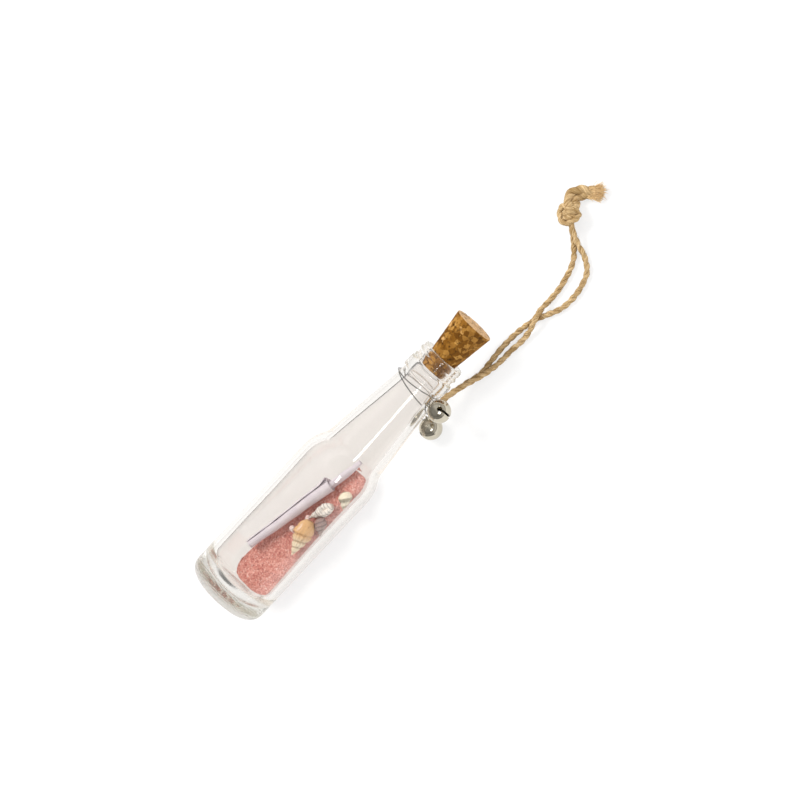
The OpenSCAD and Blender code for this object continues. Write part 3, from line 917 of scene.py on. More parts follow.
@dataclass
class Bottle:
    """The blown glass bottle, lying on its side. Millimetres."""

    radius: float = 15.0
    length: float = 115.0
    wall: float = 2.8
    bottom: float = 5.0
    heel_r: float = 5.0
    inner_corner_r: float = 8.0
    push_up_r: float = 8.0
    push_up_h: float = 0.9
    shoulder_x: float = 59.0
    shoulder_r: float = 16.5
    neck_foot_r: float = 11.9
    neck_top_r: float = 7.95
    bead_h: float = 5.6
    bead_r: float = 8.9
    bead_round: float = 1.3
    finish_r: float = 7.9
    thread_r: float = 8.8
    thread_pitch: float = 3.6
    thread_h: float = 3.2
    thread_foot: float = 0.9
    thread_half_w: float = 0.6
    thread_start: float = 0.3
    thread_end: float = 1.55
    thread_fade: float = 0.12
    lip_r: float = 8.2
    lip_h: float = 2.6
    lip_round: float = 0.8
    bore_r: float = 5.3
    mouth_edge: float = 0.4
    ridges: int = 64
    ridge_h: float = 0.05
    ridges_r: float = 11.0
    columns: int = 340

    def __post_init__(self) -> None:
        """Works out the places along the axis."""
        self.neck_x = self.shoulder_x + math.sqrt(
            self.shoulder_r**2 - (self.neck_foot_r - self.radius + self.shoulder_r) ** 2)
        self.lip_x = self.length - self.lip_h
        self.thread_x = self.lip_x - self.thread_h
        self.bead_x = self.thread_x - self.bead_h
        self.inner_r = self.radius - self.wall
        self.inner_foot_r = self.neck_foot_r - self.wall + 0.15
        inner_arc = self.shoulder_r - self.wall
        self.inner_foot_x = self.shoulder_x + math.sqrt(
            inner_arc**2 - (self.inner_foot_r - self.radius + self.shoulder_r) ** 2)

    def neck_r(self, x: float) -> float:
        """Radius of the neck's outside at a place along the axis."""
        share = (x - self.neck_x) / (self.bead_x - self.neck_x)
        return self.neck_foot_r + (self.neck_top_r - self.neck_foot_r) * share

    def inner_radius(self, x: float) -> float:
        """Gives the radius of the hollow.

        Args:
            x: a place along the axis, from the bottom to the mouth.

        Returns:
            The radius there.
        """
        corner_x = self.bottom + self.inner_corner_r
        if x < corner_x:
            off = min(self.inner_corner_r, corner_x - x)
            return self.inner_r - self.inner_corner_r + math.sqrt(self.inner_corner_r**2 - off**2)
        if x < self.shoulder_x:
            return self.inner_r
        if x < self.inner_foot_x:
            arc = self.shoulder_r - self.wall
            return self.radius - self.shoulder_r + math.sqrt(arc**2 - (x - self.shoulder_x) ** 2)
        share = min(1.0, (x - self.inner_foot_x) / (self.bead_x - self.inner_foot_x))
        return self.inner_foot_r + (self.bore_r - self.inner_foot_r) * share

    def outside(self) -> list[tuple[float, float]]:
        """Draws the outer profile, from the middle of the base to the mouth.

        Returns:
            Pairs of radius and place along the axis.
        """
        line: list[tuple[float, float]] = []
        push_up_end = self.push_up_r - 0.6
        for r in np.linspace(0.0, push_up_end, 10):
            line.append((r, self.push_up_h * (1 - (r / self.push_up_r) ** 2)))
        for share in np.linspace(0.0, 1.0, 6)[1:]:
            line.append((push_up_end + 1.3 * share, 0.12 * (1 - share) ** 2))
        for a in np.radians(np.linspace(0, 90, 22)):
            line.append((self.radius - self.heel_r + self.heel_r * math.sin(a),
                         self.heel_r - self.heel_r * math.cos(a)))
        line += [(self.radius, x) for x in np.linspace(self.heel_r + 1.5, self.shoulder_x - 1.5, 22)]
        middle = self.radius - self.shoulder_r
        end = math.asin((self.neck_x - self.shoulder_x) / self.shoulder_r)
        for a in np.linspace(0, end - 0.05, 16):
            line.append((middle + self.shoulder_r * math.cos(a),
                         self.shoulder_x + self.shoulder_r * math.sin(a)))
        line += [(self.neck_r(x), x) for x in np.linspace(self.neck_x + 0.9, self.bead_x - 0.5, 18)]
        bead_end = self.bead_x + self.bead_h
        line += self._rounded(self.bead_r, self.bead_x, bead_end, self.bead_round, self.neck_top_r)
        line += [(self.finish_r, x) for x in np.linspace(bead_end + 0.12, self.lip_x - 0.12, 26)]
        line += self._rounded(self.lip_r, self.lip_x, self.length, self.lip_round, self.finish_r)
        return line

    @staticmethod
    def _rounded(r: float, low: float, high: float, round_r: float, foot: float) -> list[tuple[float, float]]:
        """Draws a band with both edges rounded.

        Args:
            r: radius of the band.
            low: where it starts along the axis.
            high: where it ends.
            round_r: radius of its edges.
            foot: radius that it rises from.

        Returns:
            Pairs of radius and place along the axis.
        """
        line = [(foot, low)] if foot < r - round_r else []
        bends = [(round_r * math.sin(a), round_r * math.cos(a)) for a in np.radians(np.linspace(0, 90, 9))]
        line += [(r - round_r + out, low + round_r - back) for out, back in bends]
        line += [(r, x) for x in np.linspace(low + round_r + 0.3, high - round_r - 0.3, 5)]
        line += [(r - round_r + back, high - round_r + out) for out, back in bends]
        return [(max(x, foot), at) for x, at in line]

    def inside(self) -> list[tuple[float, float]]:
        """Draws the inner profile, from the mouth to the middle of the bottom.

        Returns:
            Pairs of radius and place along the axis.
        """
        line = [(self.bore_r + self.mouth_edge * share, self.length - self.mouth_edge * (1 - share))
                for share in (0.75, 0.3, 0.05)]
        line += [(self.inner_radius(x), x) for x in np.linspace(self.length - 0.8, self.bead_x, 10)]
        line += [(self.inner_radius(x), x) for x in np.linspace(self.bead_x - 2, self.inner_foot_x, 18)[:-1]]
        line += [(self.inner_radius(x), x) for x in np.linspace(self.inner_foot_x, self.shoulder_x, 14)]
        corner_x = self.bottom + self.inner_corner_r
        line += [(self.inner_r, x) for x in np.linspace(self.shoulder_x - 2, corner_x + 1, 20)]
        flat_r = self.inner_r - self.inner_corner_r
        for a in np.radians(np.linspace(0, 90, 22)):
            line.append((flat_r + self.inner_corner_r * math.cos(a),
                         corner_x - self.inner_corner_r * math.sin(a)))
        return line + [(r, self.bottom) for r in np.linspace(flat_r, 0, 8)[1:]]

    def thread(self, x: Points, turn: Points) -> Points:
        """Height of the screw thread over the finish.

        Args:
            x: places along the axis.
            turn: turns round it, from 0 to 1.

        Returns:
            One height a point.
        """
        height = np.zeros_like(x)
        first = self.thread_x + self.thread_foot
        for lap in (0, 1):
            along = turn + lap
            ridge = first + self.thread_pitch * (along - 0.55) * 0.9
            live = np.clip((along - self.thread_start) / self.thread_fade, 0, 1)
            live = live * np.clip((self.thread_end - along) / self.thread_fade, 0, 1)
            height = np.maximum(height, live * np.exp(-(((x - ridge) / self.thread_half_w) ** 2)))
        return (self.thread_r - self.finish_r) * 0.7 * height

    def knurl(self, r: Points, x: Points, turn: Points) -> Points:
        """Height of the fine moulded ridges round the standing ring, at points given as for the thread."""
        on_ring = np.exp(-(((r - self.ridges_r) / 1.6) ** 2) ** 2) * (x < 1.6)
        return -self.ridge_h * on_ring * np.clip(np.sin(turn * 2 * math.pi * self.ridges) * 1.6, 0, 1)

    def build(self, look: GlassLook, effects: SharedEffects) -> bpy.types.Object:
        """Makes the bottle.

        Args:
            look: its finish.
            effects: the shared node groups.

        Returns:
            The object.
        """
        outside, inside = self.outside(), self.inside()
        profile = np.array(outside[1:] + inside[:-1])
        turns = np.arange(self.columns) / self.columns
        r, turn = np.meshgrid(profile[:, 0], turns, indexing="ij")
        x = np.repeat(profile[:, 1][:, None], self.columns, 1)
        outer = (np.arange(len(profile)) < len(outside) - 1)[:, None]
        finish = outer & (x > self.bead_x + self.bead_h - 0.3) & (x < self.length - self.lip_round)
        r = np.where(finish, np.maximum(r, self.finish_r + self.thread(x, turn)), r)
        x = x - np.where(outer, self.knurl(r, x, turn), 0)
        angle = turn * 2 * math.pi
        inner = ~outer & (x < self.bead_x)
        slow = 0.07 * np.sin(3 * angle + x * 0.06) + 0.05 * np.sin(2 * angle - x * 0.11 + 1.0) + 0.12
        r = np.where(inner, r - slow * np.clip(r / 6, 0, 1), r)
        tips = np.array([[outside[0][1], 0, 0], [inside[-1][1], 0, 0]])
        draft = MeshDraft()
        draft.add(PLACE.from_axis(np.vstack([round_axis(x, r, angle), tips])),
                  closed_rings(len(profile), self.columns))
        return draft.build("glass_bottle", Body.BOTTLE, Slot.GLASS, look.material(effects), ["bottle"],
                           tidy=True)


@dataclass
class Cork:
    """The tapered cork in the mouth. Millimetres."""

    top_r: float = 7.4
    bottom_r: float = 4.45
    length: float = 21.6
    start_x: float = 108.742
    edge: float = 0.4
    squeezed_l: float = 8.0
    pits: int = 170
    pit_depth: float = 0.32
    columns: int = 180
    seed: int = 5

    def radius(self, x: float) -> float:
        """Radius at a distance from the narrow end."""
        return self.bottom_r + (self.top_r - self.bottom_r) * x / self.length

    def build(self, look: CorkLook, effects: SharedEffects) -> bpy.types.Object:
        """Makes the cork.

        Args:
            look: its finish.
            effects: the shared node groups.

        Returns:
            The object.
        """
        inset, step = 0.12, 0.14
        line = [(r, 0.0) for r in np.linspace(0.15, self.bottom_r - self.edge, 14)]
        line += [(self.radius(self.edge) - inset, step)]
        line += [(self.radius(x), x) for x in np.linspace(self.edge, self.length - self.edge, 84)]
        line += [(self.radius(self.length) - inset, self.length - step)]
        line += [(r, self.length) for r in np.linspace(self.top_r - self.edge, 0.15, 22)]
        profile = np.array(line)
        angle = np.arange(self.columns) / self.columns * 2 * math.pi
        r, a = np.meshgrid(profile[:, 0], angle, indexing="ij")
        points = round_axis(np.repeat(profile[:, 1][:, None], self.columns, 1), r, a)
        near = np.gradient(profile, axis=0)
        normals = np.stack([near[:, 1], -near[:, 0]]) / np.hypot(near[:, 1], -near[:, 0])
        normal_r, normal_x = (np.repeat(n[:, None], self.columns, 1) for n in normals)
        depth = self.pitted(points)
        rough = wobble(points, 0.8, 2.0) * 0.05 + wobble(points, 2.6, 3.0) * 0.05
        squeezed = np.where(points[:, 0] < self.squeezed_l, -0.03, 0.0)
        moved = -self.pit_depth * depth + squeezed + np.minimum(rough, 0.02)
        points = points + round_axis(normal_x, normal_r, a) * moved[:, None]
        points[:, 0] += self.start_x
        tips = np.array([[self.start_x, 0, 0], [self.start_x + self.length, 0, 0]])
        # Marks the end face, which the material paints with light.
        cut = np.repeat((profile[:, 1] > self.length - 0.3).astype(float), self.columns)
        draft = MeshDraft()
        # The pits' depth goes with the mesh for the painted shade in them; cut marks the end face for its
        # painted light.
        draft.add(PLACE.from_axis(np.vstack([points, tips])), closed_rings(len(profile), self.columns),
                  pit=with_tips(depth), cut=with_tips(cut, 0, 1))
        return draft.build("cork_stopper", Body.CORK, Slot.CORK, look.material(effects), ["cork"], tidy=True)

    def pitted(self, points: Points) -> Points:
        """Scatters the pits over the surface.

        Args:
            points: the points of the surface.

        Returns:
            How deep each point lies in one of the pits, from 0 to 1.
        """
        chance = np.random.default_rng(self.seed)
        depth = np.zeros(len(points))
        for k in chance.integers(0, len(points), self.pits):
            wide = chance.uniform(0.22, 0.6)
            near_by = np.exp(-((np.linalg.norm(points - points[k], axis=1) / wide) ** 2) ** 1.5)
            depth = np.maximum(depth, near_by * chance.uniform(0.5, 1.0))
        return depth


# What lies in the bottle


@dataclass
class ShellShape:
    """A coiled shell lying on the sand. Millimetres, from the base and the axis."""

    node: str
    x: float
    y: float
    length: float
    width: float
    direction: tuple[float, float, float]
    turn: float
    whorls: float
    seam: float
    ribs: int
    rib_h: float
    rings: int = 120
    sides: int = 110
    widest: float = 0.6
    mouth_u: float = 0.74
    mouth_depth: float = 0.42
    threads: int = 22

    def width_at(self, u: Points) -> Points:
        """Draws the outline of the spindle.

        Args:
            u: places from its tip, 0, to its canal, 1.

        Returns:
            Its half width there, as a share of the greatest.
        """
        spire = np.power(np.clip(u / self.widest, 0, 1), 0.85)
        foot = np.sqrt(np.clip(1 - 0.93 * ((u - self.widest) / (1 - self.widest)) ** 2, 0, 1))
        return np.where(u < self.widest, spire, foot)

    def build(self, height: float, look: ShellLook, slot: Slot, effects: SharedEffects) -> bpy.types.Object:
        """Makes the shell.

        Args:
            height: how high its middle lies over the axis.
            look: its finish.
            slot: the record's slot.
            effects: the shared node groups.

        Returns:
            The object.
        """
        degrees = np.arange(self.sides) / self.sides * 360
        u, a = np.meshgrid(np.linspace(0.006, 0.985, self.rings), degrees, indexing="ij")
        winding = self.whorls * u**0.7 - a / 360
        part = winding - np.floor(winding)
        fade = np.where(u < self.widest, 1.0, np.clip(1 - (u - self.widest) * 5, 0, 1))
        seam = np.abs(np.cos(np.pi * part)) ** 7 * fade
        swell = np.sin(np.pi * part) ** 0.7 * fade
        off = ((a + 180) % 360 - 180) / 32
        mouth = np.exp(-(((u - self.mouth_u) / 0.17) ** 2) - off**2)
        lip = np.exp(-((np.hypot((u - self.mouth_u) / 0.2, off / 1.25) - 1.05) / 0.16) ** 2) * (u > 0.5)
        ribs = (np.cos(np.radians(self.ribs * a) + winding * 0.6) * np.sin(np.pi * np.minimum(1, u * 1.1))
                * (0.35 + 0.65 * swell))
        threads = np.sin(u * 2 * np.pi * self.threads) * 0.006
        relief = (1 - self.seam * seam - self.mouth_depth * mouth**1.5 + 0.05 * lip + self.rib_h * 1.25 * ribs
                  + threads)
        r = np.minimum(self.width / 2 * self.width_at(u) * relief, self.width / 2 * 1.03)
        a = np.radians(a)
        points = np.stack([r * np.cos(a), r * np.sin(a), self.length * (u - 0.5)], -1).reshape(-1, 3)
        tips = np.array([[0, 0, -self.length / 2], [0, 0, self.length / 2 - 0.04 * self.length]])
        turned = np.vstack([points, tips]) @ turn_to(self.direction, self.turn).T + (self.x, self.y, height)
        draft = MeshDraft()
        draft.add(PLACE.from_axis(turned), closed_rings(self.rings, self.sides),
                  along=with_tips(u, 0, 1), turn=with_tips(winding),
                  # Depth of the whorl seams and rib valleys, for the painted shade in them.
                  groove=with_tips(seam * 0.9 + np.clip(-ribs, 0, 1) * 0.45),
                  mouth=with_tips(np.clip(mouth * 2.4 - 1.2, 0, 1)))
        return draft.build(self.node + "_detail", Body.BOTTLE, slot, look.material(effects), [self.node],
                           tidy=True)


@dataclass
class Contents:
    """The sand, the shells and the rolled paper. Millimetres, from the base and the axis."""

    bottle: Bottle
    sand_drop: float = 7.3
    sand_gap: float = 0.2
    shell_gap: float = 0.06
    scroll_r: float = 2.1
    scroll_l: float = 49.0
    paper_t: float = 0.16
    scroll_turns: float = 3.25
    scroll_lay: float = 65.0
    pushed_out: float = 12.5
    past_roll: float = 0.3
    fall_behind: float = 1.1
    points_across: int = 70
    points_below: int = 60
    station_step: float = 0.36
    grains: int = 6400
    grain_r: tuple[float, float] = (0.13, 0.3)
    top_share: float = 0.62
    core_r: float = 0.62
    tight_until: float = 0.46
    corner_from: float = 0.88
    seed: int = 11

    def __post_init__(self) -> None:
        """Works out the fall of the sand."""
        self.sand_x = self.bottle.bottom + self.sand_gap
        self.fall = (self.bottle.inner_foot_r - self.sand_drop) / (self.bottle.inner_foot_x - self.sand_x)

    def sand_z(self, x: float) -> float:
        """Height of the sand at a place along the axis."""
        return -self.sand_drop - self.fall * (x - self.sand_x)

    def shells(self) -> list[tuple[ShellShape, ShellLook, Slot]]:
        """Lists the shells with their finishes.

        Returns:
            Shape, finish and slot of each.
        """
        tan = ShellLook("Tan shell", spire=(0.86, 0.74, 0.54), body=(0.72, 0.44, 0.21),
                        mark=(0.42, 0.22, 0.1), inside=(0.86, 0.66, 0.5), bands=0.0, spots=0.4)
        purple = ShellLook("Purple shell", spire=(0.44, 0.31, 0.28), body=(0.33, 0.22, 0.2),
                           mark=(0.12, 0.07, 0.07), inside=(0.5, 0.4, 0.4), bands=2.0, spots=0.2)
        striped = ShellLook("Striped shell", spire=(0.88, 0.84, 0.78), body=(0.86, 0.82, 0.76),
                            mark=(0.36, 0.33, 0.32), inside=(0.86, 0.78, 0.7), bands=3.0, spots=0.1)
        spotted = ShellLook("Spotted shell", spire=(0.86, 0.79, 0.64), body=(0.87, 0.79, 0.62),
                            mark=(0.22, 0.18, 0.1), inside=(0.88, 0.8, 0.68), bands=1.0, spots=0.7,
                            scale=620.0)
        chip = ShellLook("Pale chip", spire=(0.92, 0.8, 0.77), body=(0.94, 0.84, 0.82),
                         mark=(0.7, 0.45, 0.42), inside=(0.92, 0.82, 0.8), bands=1.0, spots=0.1)
        return [
            (ShellShape("shell_tan", 34.4, -5.1, 14, 7.4, (13, 3.6, 0.8), turn=150, whorls=6, seam=0.16,
                        ribs=14, rib_h=0.035, rings=190, sides=150), tan, Slot.SHELL_TAN),
            (ShellShape("shell_purple", 41.8, -7.3, 7, 4.6, (4, 4, 1.6), turn=60, whorls=3, seam=0.12,
                        ribs=12, rib_h=0.05), purple, Slot.SHELL_PURPLE),
            (ShellShape("shell_striped", 45.4, -2.9, 10.4, 5, (8, -3.6, 0.2), turn=200, whorls=4, seam=0.14,
                        ribs=9, rib_h=0.02), striped, Slot.SHELL_PALE),
            (ShellShape("shell_spotted", 54.4, -6.9, 6.6, 5, (4, 3, 0.6), turn=30, whorls=2.6, seam=0.16,
                        ribs=8, rib_h=0.03), spotted, Slot.SHELL_PALE),
            *[(ShellShape(node, x, y, 3.4, 2.2, direction, turn=0, whorls=2, seam=0.14, ribs=6, rib_h=0.04,
                          rings=50, sides=40), chip, Slot.SHELL_PALE)
              for node, x, y, direction in (("shell_chip_a", 33.2, 1.4, (1, 3, 0.5)),
                                            ("shell_chip_b", 39.6, -0.2, (2, 1, 0.4)))],
        ]

    def build(self, effects: SharedEffects) -> None:
        """Makes everything in the bottle.

        Args:
            effects: the shared node groups.
        """
        shells = self.shells()
        for shape, look, slot in shells:
            shape.build(self.sand_z(shape.x) + shape.width / 2 + self.shell_gap, look, slot, effects)
        self.build_sand([s for s, _, _ in shells], SandLook(), effects)
        self.build_scroll(PaperLook(), effects)

    def behind_roll(self, x: float) -> float:
        """Finds where, just past the roll, the sand falls away.

        Args:
            x: a place along the axis.

        Returns:
            The place across the bottle.
        """
        low, high = self.roll_ends()
        share = (x - low[0]) / (high[0] - low[0])
        return float(low[1] + (high[1] - low[1]) * share) + self.past_roll

    def roll_ends(self) -> tuple[Points, Points]:
        """Places the roll.

        Returns:
            The low and the high end of its middle line.
        """
        start_x = self.bottle.bottom + 13.8
        high_x = start_x + self.scroll_l * 0.98
        return (np.array([start_x, self.bottle.inner_r - 3.2, -4.2]),
                np.array([high_x, -0.1, self.sand_z(high_x) + self.scroll_r + 0.1]))

    def heap(self, x: Points, y: Points, shapes: list[ShellShape]) -> Points:
        """Height of the sand that lies up against the shells.

        Args:
            x: places along the axis.
            y: places across it.
            shapes: the shells.

        Returns:
            Heights over the level sand.
        """
        high = np.zeros_like(x)
        for s in shapes:
            d = np.array(s.direction[:2]) / np.hypot(*s.direction[:2])
            along = np.clip((x - s.x) * d[0] + (y - s.y) * d[1], -s.length * 0.4, s.length * 0.4)
            away = np.hypot(x - s.x - along * d[0], y - s.y - along * d[1])
            high = np.maximum(high, s.width * 0.16 * np.exp(-((away / (s.width * 0.62)) ** 2)))
        return high

    def build_sand(self, shapes: list[ShellShape], look: SandLook, effects: SharedEffects) -> None:
        """Makes the body of the sand and the loose grains on it.

        Args:
            shapes: the shells that it lies against.
            look: its finish.
            effects: the shared node groups.
        """
        chance = np.random.default_rng(self.seed)
        across, below = self.points_across, self.points_below
        stations = np.arange(self.sand_x + 0.12, self.bottle.inner_foot_x - 3.0, self.station_step)
        rows = []
        for x in stations:
            r = self.bottle.inner_radius(x) - self.sand_gap
            level = self.sand_z(x)
            if r < -level + 0.25:
                continue
            half = math.sqrt(r * r - level * level)
            line = self.behind_roll(x)
            tried = np.linspace(min(line, half), half, 200)
            slope = level - self.fall_behind * (tried - line)
            met = tried[slope <= -np.sqrt(r * r - tried**2) + 0.02]
            far = float(met[0]) if line < half and len(met) else half
            y = ((far + half) / 2 * np.sin(np.linspace(-math.pi / 2, math.pi / 2, across))
                 + (far - half) / 2)
            z = level - self.fall_behind * np.clip(y - line, 0, None)
            edge = 1 - np.abs((y - (far - half) / 2) / ((far + half) / 2)) ** 8
            z = z + self.heap(np.full(across, x), y, shapes) * edge
            spots = np.stack([np.full(across, x), y, z], -1)
            z = z + (wobble(spots, 1.1, 1.0) * 0.22 + wobble(spots, 4.5, 4.0) * 0.3) * edge
            a = np.linspace(math.asin(far / r), -math.asin(min(1.0, half / r)), below + 2)[1:-1]
            rows.append(np.vstack([np.stack([np.full(across, x), y, z], -1),
                                   np.stack([np.full(below, x), r * np.sin(a), -r * np.cos(a)], -1)]))
        points = np.vstack([*rows, rows[0].mean(0), rows[-1].mean(0)])
        material = look.material(effects)
        draft = MeshDraft()
        draft.add(PLACE.from_axis(points), closed_rings(len(rows), across + below, True),
                  grain=chance.random(len(points)) * 0.15)
        draft.build("sand_bed", Body.BOTTLE, Slot.SAND, material, ["sand"], tidy=True)
        self._grains(np.array(rows), across, material, chance)

    def _grains(self, rows: Points, across: int, material: bpy.types.Material,
                chance: np.random.Generator) -> None:
        """Scatters grains, uneven shapes of twenty sides, over the sand, most of them on its top.

        Args:
            rows: the sections of the sand.
            across: how many points of a section lie on the top.
            material: the sand's material.
            chance: the source of random numbers.
        """
        t = (1 + math.sqrt(5)) / 2  # The corners and sides of a regular solid of twenty triangles.
        corners = np.array([(-1, t, 0), (1, t, 0), (-1, -t, 0), (1, -t, 0), (0, -1, t), (0, 1, t),
                            (0, -1, -t), (0, 1, -t), (t, 0, -1), (t, 0, 1), (-t, 0, -1), (-t, 0, 1)])
        corners = corners / math.hypot(1, t)
        sides = np.array([(0, 11, 5), (0, 5, 1), (0, 1, 7), (0, 7, 10), (0, 10, 11), (1, 5, 9), (5, 11, 4),
                          (11, 10, 2), (10, 7, 6), (7, 1, 8), (3, 9, 4), (3, 4, 2), (3, 2, 6), (3, 6, 8),
                          (3, 8, 9), (4, 9, 5), (2, 4, 11), (6, 2, 10), (8, 6, 7), (9, 8, 1)])
        draft = MeshDraft()
        n = rows.shape[1]
        for _ in range(self.grains):
            on_top = chance.random() < self.top_share
            i = chance.integers(0, len(rows) - 1)
            j = chance.integers(0, across - 1) if on_top else chance.integers(across, n - 1)
            s = chance.random()
            at = rows[i, j] * (1 - s) + rows[i + 1, (j + 1) % n] * s
            size = chance.uniform(*self.grain_r)
            off = np.hypot(at[1], at[2])
            room = self.bottle.inner_radius(float(at[0])) - 0.06 - size * 1.1
            if off > room:
                at = at * (1.0, room / off, room / off)
            spin = np.linalg.qr(chance.normal(size=(3, 3)))[0]
            shape = corners * chance.uniform(0.72, 1.1, (12, 1))
            shape = shape * (1.0, chance.uniform(0.7, 1.0), chance.uniform(0.6, 1.0))
            draft.add(PLACE.from_axis(shape @ spin.T * size + at), sides, grain=chance.random())
        draft.build("sand_grains", Body.BOTTLE, Slot.SAND, material, smooth=False)

    def build_scroll(self, look: PaperLook, effects: SharedEffects) -> None:
        """Makes the rolled paper.

        Args:
            look: its finish.
            effects: the shared node groups.
        """
        low, high = self.roll_ends()
        axis = (high - low) / np.linalg.norm(high - low)
        steps, cuts = 220, 80
        turns, lengths = np.meshgrid(np.linspace(0, 1, steps), np.linspace(0, 1, cuts), indexing="ij")
        outer = np.clip((turns - self.tight_until) / 0.1, 0, 1)
        outer = outer * outer * (3 - 2 * outer)
        radius = self.core_r + (self.scroll_r + 0.25 - self.core_r) * turns**0.9 + 0.12 * outer
        last = np.clip((turns - self.corner_from) / (1 - self.corner_from), 0, 1)
        inner_l = self.scroll_l - self.pushed_out
        along = lengths * inner_l + self.pushed_out * (1 - outer) - 1.3 * (turns - 0.5) * outer
        from_end = (inner_l - along) * outer
        mouth = outer * np.exp(-((from_end / 2.2) ** 2))
        radius = radius * (0.8 - 0.06 * lengths + outer * (0.46 * lengths - 0.12)) + 0.13 * last**2
        radius = radius + mouth * (0.15 + 0.9 * last**2)
        angle = turns * self.scroll_turns * 2 * math.pi
        wave = 0.06 * np.sin(lengths * 9 + angle) + 0.05 * np.sin(lengths * 23 - angle * 0.7)
        sheets = []
        for side in (1, -1):
            r = radius + side * self.paper_t / 2 + wave
            sheets.append(np.stack([r * np.cos(angle), r * np.sin(angle), along], -1).reshape(-1, 3))
        n = steps * cuts
        faces = grid_quads(steps, cuts, False).tolist()
        faces += (grid_quads(steps, cuts, False, True) + n).tolist()
        rim = [i * cuts for i in range(steps)] + [(steps - 1) * cuts + j for j in range(1, cuts)]
        rim += [i * cuts + cuts - 1 for i in range(steps - 2, -1, -1)] + [j for j in range(cuts - 2, 0, -1)]
        faces += [(a, b, b + n, a + n) for a, b in zip(rim, rim[1:] + rim[:1])]
        points = np.vstack(sheets) @ turn_to(axis, self.scroll_lay).T + low
        draft = MeshDraft()
        draft.add(PLACE.from_axis(points), faces)
        draft.build("paper_roll", Body.BOTTLE, Slot.PAPER, look.material(effects), ["scroll"], tidy=True)


# Wire and bells


